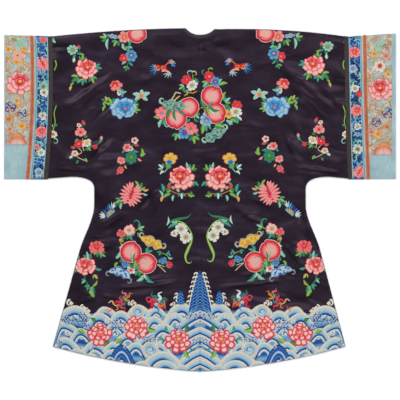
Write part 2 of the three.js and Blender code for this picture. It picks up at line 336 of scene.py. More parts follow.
def clothTop(xy):
    xy = np.asarray(xy, float)
    inside = insideDistance(xy)
    air = cloth["loft"] * smooth(inside / cloth["loftReach"])
    large = creaseSum(xy, creases) * smooth(inside / cloth["loftReach"] * 2)
    fine = cloth["fineGain"] * creaseSum(xy, fineCreases, lipped=True) * smooth(inside / 20)
    seam = -cloth["seamDip"] * np.exp(-((xy[:, 0] / 4) ** 2))
    seam += cloth["seamRidge"] * np.exp(-(((np.abs(xy[:, 0]) - 12) / 7) ** 2))
    ripple = np.sin(xy[:, 0] / 23 + 1.3 * np.sin(xy[:, 1] / 41)) * np.sin(xy[:, 1] / 29 + 0.7)
    ripple *= cloth["ripple"]
    roll = cloth["edgeDrop"] * (1 - np.clip(inside / cloth["edgeReach"], 0, 1)) ** 2
    lift = air + large + fine + (seam + ripple) * smooth(inside / 30)
    return cloth["edgeTop"] + np.maximum(lift, -0.3) - roll


def creaseShadeDepth(xy):  # how deep in the trough beside a sharp crease, 0 to 1; the satin's colour is darkened by it as painted shade
    return np.clip(-creaseSum(xy, fineCreases, lipped=True) / 0.8, 0, 1)


def frontLow(half, points):  # the front's underside, 0 but for the stretch that lies on the ribbons
    start = points[:, 0] - lineX(half, trims["dark_braid"][0] - 1, points[:, 1])
    end = lineX(half, trims["gold_ribbon"][1] + 1, points[:, 1]) - points[:, 0]
    onSleeve = points[:, 1] > cut["sleeveLowY"] - 10
    return cloth["frontLift"] * smooth(1 + np.minimum(start, end) / 8) * onSleeve


def linear(colour):
    c = np.array(colour, float) / 255
    return np.where(c <= 0.04045, c / 12.92, ((c + 0.055) / 1.055) ** 2.4)


def newMaterial(name):
    material = bpy.data.materials.new(name)
    material.use_nodes = True
    nodes = material.node_tree.nodes
    return material, nodes, material.node_tree.links, nodes["Principled BSDF"]


def mapping(nodes, links, scale, angle=0, source="Object"):
    coordinates = nodes.new("ShaderNodeTexCoord")
    turn = nodes.new("ShaderNodeMapping")
    turn.inputs["Scale"].default_value = scale
    turn.inputs["Rotation"].default_value = (0, 0, angle)
    links.new(coordinates.outputs[source], turn.inputs["Vector"])
    return turn.outputs["Vector"]


def noise(nodes, links, vector, scale, detail=3, roughness=0.55):
    texture = nodes.new("ShaderNodeTexNoise")
    texture.inputs["Scale"].default_value = scale
    texture.inputs["Detail"].default_value = detail
    texture.inputs["Roughness"].default_value = roughness
    links.new(vector, texture.inputs["Vector"])
    return texture.outputs["Fac"]


def ramp(nodes, links, factor, stops):
    node = nodes.new("ShaderNodeValToRGB")
    elements = node.color_ramp.elements
    while len(elements) < len(stops):
        elements.new(0.5)
    for element, (place, colour) in zip(elements, stops):
        element.position = place
        element.color = (*linear(colour), 1)
    links.new(factor, node.inputs["Fac"])
    return node.outputs["Color"]


def multiply(nodes, links, a, b, factor=1.0):
    mix = nodes.new("ShaderNodeMix")
    mix.data_type = "RGBA"
    mix.blend_type = "MULTIPLY"
    mix.inputs["Factor"].default_value = factor
    links.new(a, mix.inputs["A"])
    links.new(b, mix.inputs["B"])
    return mix.outputs["Result"]


def threads(nodes, links, vector, spacing, angle):  # a set of parallel threads, as a height
    wave = nodes.new("ShaderNodeTexWave")
    wave.inputs["Scale"].default_value = 0.314 / spacing
    wave.inputs["Distortion"].default_value = 1.2
    wave.inputs["Detail"].default_value = 2
    turn = nodes.new("ShaderNodeMapping")
    turn.inputs["Rotation"].default_value = (0, 0, angle)
    links.new(vector, turn.inputs["Vector"])
    links.new(turn.outputs["Vector"], wave.inputs["Vector"])
    return wave.outputs["Fac"]


def bump(nodes, links, height, distance, strength, normal):  # feeds a normal input, and gives its own
    node = nodes.new("ShaderNodeBump")
    node.inputs["Strength"].default_value = strength
    node.inputs["Distance"].default_value = distance
    links.new(height, node.inputs["Height"])
    links.new(node.outputs["Normal"], normal)
    return node.inputs["Normal"]


# tones are the cloth's dark, middle and light patches, 0 to 255
finishes = {
    "satin": {"tones": [(15, 11, 18), (31, 24, 35), (42, 34, 48)], "roughness": 0.42, "sheen": 0.0,
              "weave": 0.00045, "bump": 0.00003, "patch": 9, "wrinkle": 0.0009, "shine": 0.24,
              "glint": (1, 0.66, 0.98, 1), "drape": 0.04},
    "pale_silk": {"tones": [(140, 172, 178), (156, 186, 191), (170, 198, 201)], "roughness": 0.55,
                  "sheen": 0.1, "weave": 0.0006, "bump": 0.00006, "patch": 14, "wrinkle": 0.0007},
    "neck_silk": {"tones": [(28, 27, 36), (37, 36, 46), (48, 48, 60)], "roughness": 0.5, "sheen": 0.02,
                  "weave": 0.0005, "bump": 0.00005, "patch": 40, "wrinkle": 0.0002},
    "panel_embroidery": {"tones": [(134, 168, 178), (160, 186, 190), (196, 200, 190)], "roughness": 0.65,
                         "sheen": 0.05, "weave": 0.0007, "bump": 0.00008, "patch": 45, "wrinkle": 0.0003},
    "flower_ribbon": {"tones": [(12, 16, 52), (20, 62, 140), (34, 96, 176)], "roughness": 0.55,
                      "sheen": 0.05, "weave": 0.0006, "bump": 0.0001, "patch": 46, "wrinkle": 0.0003},
    "gold_ribbon": {"tones": [(184, 84, 42), (208, 104, 50), (222, 124, 64)], "roughness": 0.55,
                    "sheen": 0.05, "weave": 0.0007, "bump": 0.0001, "patch": 60, "wrinkle": 0.0002},
    "dark_braid": {"tones": [(40, 34, 32), (60, 52, 48), (84, 74, 62)], "roughness": 0.8, "sheen": 0.05,
                   "weave": 0.0012, "bump": 0.0002, "patch": 260, "wrinkle": 0.0002},
}


def clothMaterial(name):
    look = finishes[name]
    material, nodes, links, shader = newMaterial(name)
    place = mapping(nodes, links, (1, 1, 1))
    along = mapping(nodes, links, (1, 1.9, 1), 0.35)  # across the robe, slightly slanting
    patches = noise(nodes, links, along if "drape" in look else place, look["patch"], 4, 0.6)
    stops = [(0.3, look["tones"][0]), (0.5, look["tones"][1]), (0.7, look["tones"][2])]
    colour = ramp(nodes, links, patches, stops)
    slubs = noise(nodes, links, mapping(nodes, links, (1, 0.06, 1)), 1 / look["weave"] / 3, 2)
    fleck = ramp(nodes, links, slubs, [(0.3, (232, 232, 232)), (0.7, (255, 255, 255))])
    colour = multiply(nodes, links, colour, fleck)
    if "drape" in look:  # painted shade: the satin's base colour is darkened in the troughs beside the sharp creases
        fold = nodes.new("ShaderNodeAttribute")
        fold.attribute_name = "fold"
        dim = ramp(nodes, links, fold.outputs["Fac"], [(0, (255, 255, 255)), (1, (120, 120, 120))])
        colour = multiply(nodes, links, colour, dim)
    links.new(colour, shader.inputs["Base Color"])
    shader.inputs["Roughness"].default_value = look["roughness"]
    shader.inputs["Sheen Weight"].default_value = look["sheen"]
    shader.inputs["Specular IOR Level"].default_value = look.get("shine", 0.25)
    shader.inputs["Specular Tint"].default_value = look.get("glint", (1, 1, 1, 1))
    shader.inputs["Sheen Roughness"].default_value = 0.4
    weave = nodes.new("ShaderNodeMath")
    weave.operation = "ADD"
    for k, angle in enumerate((0, math.pi / 2)):  # warp and weft
        links.new(threads(nodes, links, place, look["weave"], angle), weave.inputs[k])
    below = bump(nodes, links, weave.outputs[0], look["bump"], 0.6, shader.inputs["Normal"])
    puckers = noise(nodes, links, mapping(nodes, links, (1, 1.7, 1), 0.5), 34, 3, 0.5)
    below = bump(nodes, links, puckers, look["wrinkle"], 0.5, below)
    if "drape" in look:  # broad soft wrinkles, mostly across the robe
        sway = noise(nodes, links, along, 8, 1, 0.4)
        sway.node.inputs["Distortion"].default_value = 0.3
        bump(nodes, links, sway, look["drape"], 0.6, below)
    return material


materials = {name: clothMaterial(name) for name in finishes}


def threadMaterial():  # embroidery: each stitch's colour is an attribute, and its way is the UV map's U
    material, nodes, links, shader = newMaterial("silkThread")
    silk = nodes.new("ShaderNodeAttribute")
    silk.attribute_name = "silk"
    way = nodes.new("ShaderNodeUVMap")
    way.uv_map = "stitches"
    stretched = nodes.new("ShaderNodeMapping")
    stretched.inputs["Scale"].default_value = (1, 0.12, 1)
    links.new(way.outputs["UV"], stretched.inputs["Vector"])
    strands = noise(nodes, links, stretched.outputs["Vector"], 1500, 2, 0.6)
    dimmed = ramp(nodes, links, strands, [(0.25, (205, 205, 205)), (0.75, (255, 255, 255))])
    links.new(multiply(nodes, links, silk.outputs["Color"], dimmed), shader.inputs["Base Color"])
    shader.inputs["Roughness"].default_value = 0.5
    shader.inputs["Specular IOR Level"].default_value = 0.25
    bump(nodes, links, strands, 0.00012, 0.6, shader.inputs["Normal"])
    return material


silkThread = threadMaterial()
print("materials ready")

def countOpenEdges(shape):
    return sum(1 for edge in shape.edges if len(edge.link_faces) != 2)


def makePiece(name, points, faces, material, slotName, replaces=()):  # points in mm
    mesh = bpy.data.meshes.new(name)
    mesh.from_pydata((np.asarray(points) * mm).tolist(), [], faces)
    mesh.validate()
    mesh.update()
    mesh.materials.append(material)
    piece = addObject(name, mesh)
    shape = bmesh.new()
    shape.from_mesh(mesh)
    if shape.calc_volume(signed=True) < 0:
        bmesh.ops.reverse_faces(shape, faces=shape.faces)
    for face in shape.faces:
        face.smooth = True
    if countOpenEdges(shape):
        print(name, "has open edges:", countOpenEdges(shape))
    shape.to_mesh(mesh)
    shape.free()
    mesh.set_sharp_from_angle(angle=math.radians(50))
    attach(piece, "root")
    if replaces:
        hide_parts(*replaces)
    return piece


def triangulate(loop, spacing):  # a clockwise loop first, then points inside it
    low, high = loop.min(0), loop.max(0)
    rows = int((high[1] - low[1]) / (spacing * 0.866)) + 1
    columns = int((high[0] - low[0]) / spacing) + 1
    row, column = np.meshgrid(np.arange(rows), np.arange(columns), indexing="ij")
    x = low[0] + (column + 0.5 * (row % 2)) * spacing
    y = low[1] + row * spacing * 0.866
    inner = np.stack([x.ravel(), y.ravel()], 1)
    nearest = edgeDistance(inner, loop, np.roll(loop, -1, axis=0))
    inner = inner[insideLoop(inner, loop, 1) & (nearest > min(spacing * 0.55, 4))]
    points = np.vstack([loop, inner])
    count = len(loop)
    edges = [(k, (k + 1) % count) for k in range(count)]
    vectors = [Vector(p) for p in points.tolist()]
    _, _, faces, origins, _, _ = delaunay_2d_cdt(vectors, edges, [], 1, 1e-5)
    source = [origin[0] for origin in origins]
    triangles = []
    for a, b, c in faces:
        ring = [source[a], source[b], source[c]]
        p, q, r = points[ring]
        if (q[0] - p[0]) * (r[1] - p[1]) - (q[1] - p[1]) * (r[0] - p[0]) < 0:
            ring.reverse()
        triangles.append(ring)
    return points, triangles


def signed(half, points):
    return points * np.array([half["sign"], 1])


def mirrored(half, points, faces):  # onto the left side, where the faces turn over too
    points[:, 0] *= half["sign"]
    return points, faces if half["sign"] > 0 else [tuple(reversed(f)) for f in faces]


def loopArea(loop):
    x, y = loop[:, 0], loop[:, 1]
    return abs(np.sum(x * np.roll(y, -1) - y * np.roll(x, -1))) / 2


body = {"backSpacing": 5.2, "frontSpacing": 16, "edgeSpacing": 5, "foldBulge": 1.2, "foldRows": 3}


def bodyHalf(half):
    out = cut["bindingWidth"] + cut["seamGap"]
    join = cut["joinAt"] - cut["seamGap"] / 2
    top = topEdge(half, out)
    joinTopX = lineX(half, join, half["bandTopY"])
    fold = np.vstack([top[top[:, 0] < joinTopX - 1], [(joinTopX, topY(half, joinTopX))]])
    fold = resample(fold, body["edgeSpacing"])
    ys = np.linspace(topY(half, joinTopX), underY(half, lineX(half, join, cut["sleeveLowY"])), 90)
    seam = np.stack([lineX(half, join, ys), ys], 1)
    seam[0] = fold[-1]
    low = lowEdge(half)[2:]
    side = resample(np.vstack([seam[-1:], low[:-30]]), body["edgeSpacing"])
    hem = resample(low[-31:], body["edgeSpacing"])
    loops = {}
    for kind in ("back", "front"):
        neck = resample(neckEdge(half, kind, out), body["edgeSpacing"])
        centre = resample([hem[-1], neck[0]], body["edgeSpacing"])
        loops[kind] = np.vstack([neck[:-1], fold, seam[1:], side[1:], hem[1:], centre[1:-1]])
        loops[kind + "Fold"] = len(neck) - 1
    back, backFaces = triangulate(loops["back"], body["backSpacing"])
    front, frontFaces = triangulate(loops["front"], body["frontSpacing"])
    topZ = clothTop(signed(half, back))
    lowZ = frontLow(half, front)
    points = [
        np.column_stack([back, topZ]),
        np.column_stack([back, topZ - cloth["wall"]]),
        np.column_stack([front, lowZ + cloth["wall"]]),
        np.column_stack([front, lowZ]),
    ]
    backTop, backUnder = 0, len(back)
    frontTop, frontUnder = 2 * len(back), 2 * len(back) + len(front)
    faces = [tuple(f) for f in backFaces] + [tuple(backUnder + k for k in reversed(f)) for f in backFaces]
    faces += [tuple(frontTop + k for k in f) for f in frontFaces]
    faces += [tuple(frontUnder + k for k in reversed(f)) for f in frontFaces]
    foldCount = len(fold)
    for kind, upper, lower in (("back", backTop, backUnder), ("front", frontTop, frontUnder)):
        start, count = loops[kind + "Fold"], len(loops[kind])
        for k in range(count):
            if not start <= k < start + foldCount - 1:
                n = (k + 1) % count
                faces.append((lower + k, upper + k, upper + n, lower + n))
    # the turn over the shoulder
    way = np.gradient(fold, axis=0)
    outward = np.stack([-way[:, 1], way[:, 0]], 1) / np.hypot(way[:, 0], way[:, 1])[:, None]
    b0, f0 = loops["backFold"], loops["frontFold"]
    highZ, deepZ = topZ[b0:b0 + foldCount], lowZ[f0:f0 + foldCount]
    rows = [list(range(backTop + b0, backTop + b0 + foldCount))]
    size = sum(len(p) for p in points)
    for r in range(1, body["foldRows"] + 1):
        angle = math.pi * r / (body["foldRows"] + 1)
        plan = fold + outward * body["foldBulge"] * math.sin(angle)
        z = (highZ + deepZ) / 2 + (highZ - deepZ) / 2 * math.cos(angle)
        points.append(np.column_stack([plan, z]))
        rows.append(list(range(size, size + foldCount)))
        size += foldCount
    rows.append(list(range(frontUnder + f0, frontUnder + f0 + foldCount)))
    inner = [list(range(frontTop + f0, frontTop + f0 + foldCount))]
    inner.append(list(range(backUnder + b0, backUnder + b0 + foldCount)))
    for k in range(foldCount - 1):
        for upper, lower in zip(rows, rows[1:]):
            faces.append((lower[k], upper[k], upper[k + 1], lower[k + 1]))
        faces.append((inner[0][k], inner[0][k + 1], inner[1][k + 1], inner[1][k]))
    faces.append(tuple([row[0] for row in rows] + [inner[0][0], inner[1][0]]))
    faces.append(tuple(reversed([row[-1] for row in rows] + [inner[0][-1], inner[1][-1]])))
    points, faces = mirrored(half, np.vstack(points), faces)
    name = "robe_body_" + half["name"]
    piece = makePiece(name, points, faces, materials["satin"], "satin", ["body_" + half["name"]])
    # painted shade: how deep each point lies in a crease's trough, which the satin reads to darken its colour
    paintedShade = piece.data.attributes.new("fold", "FLOAT", "POINT")
    paintedShade.data.foreach_set("value", creaseShadeDepth(points[:, :2]))
    area = (loopArea(loops["back"]) + loopArea(loops["front"])) * mm * mm
    reach = seam[:, 0].max()
    length = 2 * (fold[:, 1].max() - hem[:, 1].min())
    print(name, "flat", round(reach), round(length), "mm, area", round(area, 3))
    return piece, (reach * mm, length * mm), area


def gridFaces(columns, rows, start=0, closed=False):
    faces = []
    for r in range(rows if closed else rows - 1):
        n = (r + 1) % rows
        for c in range(columns - 1):
            a, b = start + r * columns + c, start + n * columns + c
            faces.append((a, a + 1, b + 1, b))
    return faces


def shellFaces(columns, rows):  # a grid, the same grid below it, and the walls between them
    size = rows * columns
    upper = gridFaces(columns, rows)
    ring = list(range(columns)) + [r * columns + columns - 1 for r in range(1, rows)]
    ring += [size - 1 - c for c in range(1, columns)] + [r * columns for r in range(rows - 2, 0, -1)]
    walls = [(b, a, size + a, size + b) for a, b in zip(ring, ring[1:] + ring[:1])]
    return upper + [tuple(size + k for k in reversed(f)) for f in upper] + walls


def sleevePlan(half, startLine, endLine, columns, rows):
    # X and Y of a grid over the sleeve between two lines across it, from its lower edge up
    s = np.linspace(0, 1, rows)[:, None]
    c = np.linspace(0, 1, columns)[None, :]
    y = cut["sleeveLowY"] + s * (half["sleeveTopY"] - cut["sleeveLowY"])
    x = (1 - c) * startLine(y) + c * endLine(y)
    low, high = underY(half, x), topY(half, x)
    return x, low + s * (high - low)


def sleeveTube(name, half, lines, columns, rows, tube, material, slotName, replaces):
    # A flat tube of cloth round the sleeve. tube gives its faces' heights and how far it stands past the
    # sleeve's edges.
    x, y = sleevePlan(half, *lines, columns, rows)
    plan = np.stack([x.ravel(), y.ravel()], 1)
    top = clothTop(signed(half, plan)).reshape(rows, columns)
    under = frontLow(half, plan).reshape(rows, columns) if tube["onRibbons"] else np.zeros((rows, columns))
    turns = 3
    skins = []
    for high, low, past in ((tube["top"], tube["low"], tube["past"]),
                            (tube["innerTop"], tube["innerLow"], tube["innerPast"])):
        backZ, frontZ = top + high, under + low
        rings = [(x[r], y[r], backZ[r]) for r in range(rows)]
        for r in range(1, turns + 1):
            a = math.pi * r / (turns + 1)
            z = (backZ[-1] + frontZ[-1]) / 2 + (backZ[-1] - frontZ[-1]) / 2 * math.cos(a)
            rings.append((x[-1], y[-1] + past * math.sin(a), z))
        rings += [(x[r], y[r], frontZ[r]) for r in reversed(range(rows))]
        for r in range(1, turns + 1):
            a = math.pi * r / (turns + 1)
            z = (backZ[0] + frontZ[0]) / 2 - (backZ[0] - frontZ[0]) / 2 * math.cos(a)
            rings.append((x[0], y[0] - past * math.sin(a), z))
        skins.append(np.array([np.stack(ring, 1) for ring in rings]))
    ringCount = len(skins[0])
    points = np.vstack([skin.reshape(-1, 3) for skin in skins])
    size = ringCount * columns
    outer = gridFaces(columns, ringCount, 0, closed=True)
    faces = outer + [tuple(size + k for k in reversed(f)) for f in outer]
    for r in range(ringCount):
        n = (r + 1) % ringCount
        a, b = r * columns, n * columns
        faces.append((a, b, size + b, size + a))
        a, b = a + columns - 1, b + columns - 1
        faces.append((b, a, size + a, size + b))
    return makePiece(name, *mirrored(half, points, faces), material, slotName, replaces)


def layPatch(name, half, x, y, lift, wall, material, slotName, replaces):
    # A patch on the sleeve's back, over a grid of X and Y
    rows, columns = x.shape
    plan = np.stack([x.ravel(), y.ravel()], 1)
    top = clothTop(signed(half, plan)) + lift
    points = np.vstack([np.column_stack([plan, top]), np.column_stack([plan, top - wall])])
    faces = shellFaces(columns, rows)
    return makePiece(name, *mirrored(half, points, faces), material, slotName, replaces)


tubes = {
    "cuff": {"top": 0, "low": 0, "past": 1.2, "innerTop": -1.3, "innerLow": 1.3, "innerPast": 0.2,
             "onRibbons": True},
    "trim": {"top": 0.85, "low": 0, "past": 2.1, "innerTop": 0.25, "innerLow": 0.45, "innerPast": 1.5,
             "onRibbons": False},
}
sleeve = {"rows": 92, "cuffColumns": 30, "panelStart": 57.8, "panelBorder": 1.5, "panelRows": 74,
          "panelColumns": 20}


def trimLines(half, start, end):
    return (lambda y: lineX(half, start, y)), (lambda y: lineX(half, end, y))


def sleevePieces(half):
    name = half["name"]
    startLine, _ = trimLines(half, cut["joinAt"] + cut["seamGap"] / 2, 0)
    endLine = lambda y: np.full_like(y, cut["sleeveEndX"])
    made = {}
    made["cuff"] = sleeveTube(
        "sleeve_end_" + name, half, (startLine, endLine), sleeve["cuffColumns"], sleeve["rows"],
        tubes["cuff"], materials["pale_silk"], "pale_silk", ["cuff_" + name],
    )
    for trim, (start, end) in trims.items():
        columns = max(3, round((end - start) / 5) + 1)
        made[trim] = sleeveTube(
            trim.replace("_", "") + "_" + name, half, trimLines(half, start, end), columns,
            sleeve["rows"], tubes["trim"], materials[trim], trim, [f"{trim}_{name}"],
        )
    endX, endY = half["panelEnd"]
    c = np.linspace(0, 1, sleeve["panelColumns"])[None, :]
    s = np.linspace(0, 1, sleeve["panelRows"])[:, None]
    y = endY + s * (half["sleeveTopY"] - sleeve["panelBorder"] - endY)
    x = (1 - c) * lineX(half, sleeve["panelStart"], y) + c * endX
    y = endY + s * (topY(half, x) - sleeve["panelBorder"] - endY)
    made["panel"] = layPatch(
        "embroidered_panel_" + name, half, x, y, cloth["trimLift"], cloth["trimWall"],
        materials["panel_embroidery"], "panel_embroidery", ["sleeve_panel_" + name],
    )
    return made


binding = {"raise": 0.35, "bulge": 1.5, "turnRows": 5, "turnIn": 6}


def neckBinding():
    # One strip, from the front opening over a shoulder, round the back and down to the opening again
    width = cut["bindingWidth"]
    stations = []  # inner edge, outer edge, outer face's height, inner face's height, push outwards
    for half in (halves["left"], halves["right"]):
        sign = np.array([half["sign"], 1])
        mine = []
        inner, outer = (neckEdge(half, "front", out) * sign for out in (0, width))
        mine += [(i, o, 0.0, cloth["wall"], 0.0, 0.0) for i, o in zip(inner, outer)]
        inner, outer = (neckEdge(half, "back", out, 0) * sign for out in (0, width))
        topI, topO = (clothTop(edge) + binding["raise"] for edge in (inner, outer))
        for r in range(1, binding["turnRows"] + 1):
            a = math.pi * r / (binding["turnRows"] + 1)
            high = (topI[-1] + topO[-1]) / 2
            z = high / 2 - high / 2 * math.cos(a)
            under = high - cloth["wall"]
            innerZ = (cloth["wall"] + under) / 2 - (under - cloth["wall"]) / 2 * math.cos(a)
            push = binding["bulge"] * math.sin(a)
            mine.append((inner[-1], outer[-1], z, innerZ, push, 0.2 * push))
        for i, o, zi, zo in list(zip(inner, outer, topI, topO))[::-1]:
            mine.append((i, o, (zi, zo), (zi - cloth["wall"], zo - cloth["wall"]), 0.0, 0.0))
        stations.append(mine)
    chain = stations[0] + stations[1][::-1][1:]
    points, faces = [], []
    for innerEdge, outerEdge, outerZ, innerZ, push, innerPush in chain:
        zs = [value if isinstance(value, tuple) else (value, value) for value in (outerZ, innerZ)]
        middle = (innerEdge + outerEdge) / 2
        crown = 0.5 if push == 0 and zs[0][0] > 1 else 0
        points.append((*(innerEdge + (0, push)), zs[0][0]))
        points.append((*(middle + (0, push)), sum(zs[0]) / 2 + crown))
        points.append((*(outerEdge + (0, push)), zs[0][1]))
        points.append((*(outerEdge + (0, innerPush)), zs[1][1]))
        points.append((*(innerEdge + (0, innerPush)), zs[1][0]))
    loop = 5
    for k in range(len(chain) - 1):
        for c in range(loop):
            n = (c + 1) % loop
            faces.append((k * loop + c, k * loop + n, (k + 1) * loop + n, (k + 1) * loop + c))
    faces.append(tuple(reversed(range(loop))))
    faces.append(tuple(range((len(chain) - 1) * loop, len(chain) * loop)))
    centre = np.array([(inner + outer) / 2 for inner, outer, *_ in chain])
    length = np.hypot(*np.diff(centre, axis=0).T).sum() + 2 * binding["turnIn"]
    piece = makePiece("neck_strip", points, faces, materials["neck_silk"], "neck_silk", ["neck_binding"])
    return piece, length


robeBodies = {name: bodyHalf(half) for name, half in halves.items()}
sleevePieceSets = {name: sleevePieces(half) for name, half in halves.items()}
neckStrip, neckLength = neckBinding()
print("cloth ready")

# embroidery: worked flat on a squared-up drawing, cut off at the seams, then laid on the cloth
drawing = {"step": 3.2, "top": 639.2}  # mm: squares counted out from the centre seam, and down from here

silks = {  # 0 to 255
    "cream": (230, 221, 203), "oatLine": (178, 177, 170), "white": (236, 232, 218), "ice": (180, 206, 213),
    "paleBlue": (134, 184, 206), "sky": (88, 166, 208), "blue": (18, 108, 190), "deep": (4, 62, 146),
    "navy": (10, 34, 90), "red": (214, 28, 44), "rose": (226, 62, 78), "pink": (238, 118, 122),
    "shell": (242, 168, 158), "petal": (252, 206, 194), "blush": (230, 178, 164), "teal": (20, 124, 120),
    "jade": (50, 150, 112), "green": (38, 112, 54), "lime": (134, 184, 58), "paleLime": (190, 212, 128),
    "mint": (156, 204, 184),
    "sage": (146, 174, 152), "gold": (208, 150, 24), "yellow": (236, 196, 90), "orange": (222, 122, 44),
    "peach": (224, 160, 112), "slate": (120, 138, 146), "sand": (214, 186, 140),
    "ink": (14, 10, 40), "rust": (196, 88, 40), "olive": (120, 120, 48),
}
silks = {name: linear(colour) for name, colour in silks.items()}


def newWork(half):
    return {"half": half, "points": [], "silk": [], "stitches": [], "faces": [], "count": 0,
            "knots": [], "shift": (0.0, 0.0)}


def toPlan(work, squares):  # squares out and down to mm out and up
    squares = np.atleast_2d(np.array(squares, float)) + work["shift"]
    return np.stack([squares[:, 0] * drawing["step"], drawing["top"] - squares[:, 1] * drawing["step"]], 1)


def smoothPath(points, count):
    points = np.array(points, float)
    if len(points) > 2:
        padded = np.vstack([2 * points[0] - points[1], points, 2 * points[-1] - points[-2]])
        fine = []
        for a, b, c, d in zip(padded, padded[1:], padded[2:], padded[3:]):
            t = np.linspace(0, 1, 9)[:-1, None]
            fine.append(0.5 * (2 * b + (c - a) * t + (2 * a - 5 * b + 4 * c - d) * t**2
                               + (3 * b - a - 3 * c + d) * t**3))
        points = np.vstack(fine + [points[-1:]])
    return resample(points, count=count)


def shade(colour, t):  # one silk, or several blended along the way
    names = (colour,) if isinstance(colour, str) else colour
    stops = np.array([silks[name] for name in names])
    if len(stops) == 1:
        return np.repeat(stops, len(t), axis=0)
    places = np.linspace(0, 1, len(stops))
    return np.stack([np.interp(t, places, stops[:, k]) for k in range(3)], 1)


def addShape(work, points, silk, stitches, faces):
    start = work["count"]
    work["points"].append(points)
    work["silk"].append(silk)
    work["stitches"].append(stitches)
    work["faces"] += [tuple(start + k for k in face) for face in faces]
    work["count"] += len(points)


sunk = -0.3  # edges of the stitching sink this deep into the cloth
wideWork = 6  # mm: work wider than this has an underside that follows the cloth


def knot(work, u, v, lift, tone, r):  # a knotted stitch, r in mm
    work["knots"].append((*toPlan(work, (u, v))[0], lift, tone, r))


def bothWays(*steps):  # silks out from a line to its one side, and the same to its other side
    return [(-place, silk) for place, silk in reversed(steps) if place] + list(steps)


def band(work, path, width, across, lift=0.5, crown=0.25, steps=8):
    # Satin stitch along a path of squares. width is from its line to its side, in squares; across lists
    # places from one side to the other, each with its silk.
    plan = smoothPath(toPlan(work, path), steps)
    way = np.gradient(plan, axis=0)
    long = np.hypot(way[:, 0], way[:, 1])[:, None] + 1e-9
    left = np.stack([-way[:, 1], way[:, 0]], 1) / long
    t = np.linspace(0, 1, steps + 1)
    reach = (width(t) if callable(width) else np.full(steps + 1, width)) * drawing["step"]
    reach = np.maximum(reach, 0.12)
    places = np.array([place for place, _ in across])
    middle, spread = (places[0] + places[-1]) / 2, (places[-1] - places[0]) / 2
    last = len(across) - 1
    along = t * long.sum()
    points, silk, stitches = [], [], []
    for k, (place, colour) in enumerate(across):
        high = sunk if k in (0, last) else lift + crown * (1 - ((place - middle) / spread) ** 2)
        points.append(np.column_stack([plan + left * (place * reach)[:, None], np.full(steps + 1, high)]))
        silk.append(shade(colour, t))
        stitches.append(np.column_stack([along, place * reach]))
    closeStrip(work, points, silk, stitches, reach.max() * spread > wideWork)


def closeStrip(work, points, silk, stitches, wide):
    # Joins lines of points, side by side, into a shell that is closed underneath
    columns, last, steps = len(points), len(points) - 1, len(points[0]) - 1
    points, silk, stitches = (np.stack(a, 1).reshape(-1, a[0].shape[1]) for a in (points, silk, stitches))
    # the underside's columns: only its two sides, or all of them under wide work
    size, under = len(points), [0, last]
    if wide:
        low = points.copy()
        low[:, 2] = sunk
        points = np.vstack([points, low])
        silk, stitches = np.vstack([silk, silk]), np.vstack([stitches, stitches])
        under = [0] + [size + j for j in range(1, last)] + [last]
    faces = []
    for i in range(steps):
        a, b = i * columns, (i + 1) * columns
        faces += [(a + j, b + j, b + j + 1, a + j + 1) for j in range(last)]
        faces += [(a + k, b + k, b + j, a + j) for j, k in zip(under, under[1:])]
    end = steps * columns
    faces.append((*range(columns), *reversed(under[1:-1])))
    faces.append((*(end + j for j in reversed(range(columns))), *(end + j for j in under[1:-1])))
    addShape(work, points, silk, stitches, faces)


def rings(work, centre, reach, flat, shares, heights, colours):
    # Rings of points round a centre, closed underneath. flat holds unit ways, reach their lengths in mm.
    count = len(flat)
    points = [np.array([[*centre, heights[0][0]]])]
    silk, stitches = [colours[0][:1]], [np.zeros((1, 2))]
    turns = np.arange(count) * (2 * math.pi / count)
    for share, high, colour in zip(shares[1:], heights[1:], colours[1:]):
        points.append(np.column_stack([centre + flat * (share * reach)[:, None], high]))
        silk.append(colour)
        stitches.append(np.column_stack([share * reach, turns * reach]))
    points, silk, stitches = np.vstack(points), np.vstack(silk), np.vstack(stitches)
    last = len(shares) - 1

    def ringFaces(numberOf, up):
        made = [(numberOf(0, 0), numberOf(1, k), numberOf(1, (k + 1) % count)) for k in range(count)]
        for r in range(1, last):
            made += [(numberOf(r, k), numberOf(r + 1, k), numberOf(r + 1, (k + 1) % count),
                      numberOf(r, (k + 1) % count)) for k in range(count)]
        return made if up else [tuple(reversed(f)) for f in made]

    faces = ringFaces(lambda r, k: 0 if r == 0 else 1 + (r - 1) * count + k, True)
    if reach.max() > wideWork:
        size = len(points)
        inner = 1 + (last - 1) * count
        low = points[:inner].copy()
        low[:, 2] = sunk
        points = np.vstack([points, low])
        silk, stitches = np.vstack([silk, silk[:inner]]), np.vstack([stitches, stitches[:inner]])

        def lower(r, k):
            number = 0 if r == 0 else 1 + (r - 1) * count + k
            return number if r == last else size + number

        faces += ringFaces(lower, False)
    else:
        edge = 1 + (last - 1) * count
        faces.append(tuple(edge + k for k in reversed(range(count))))
    addShape(work, points, silk, stitches, faces)


def disc(work, u, v, radius, bands, lift=0.5, crown=0.25, count=14, squeeze=1.0, turn=0):
    # A round shape: bands lists shares of the radius, from 0 to 1, each with its silk.
    angles = np.linspace(0, 2 * math.pi, count, endpoint=False)
    reach = (radius(angles) if callable(radius) else np.full(count, radius)) * drawing["step"]
    a = math.radians(turn)
    flat = np.stack([np.cos(angles), np.sin(angles) * squeeze], 1)
    flat = flat @ np.array([[math.cos(a), math.sin(a)], [-math.sin(a), math.cos(a)]])
    shares = [share for share, _ in bands]
    heights = [np.full(count, sunk if share == 1 else lift + crown * (1 - share**2)) for share in shares]
    colours = [shade(colour, np.zeros(count)) for _, colour in bands]
    rings(work, toPlan(work, (u, v))[0], reach, flat, shares, heights, colours)


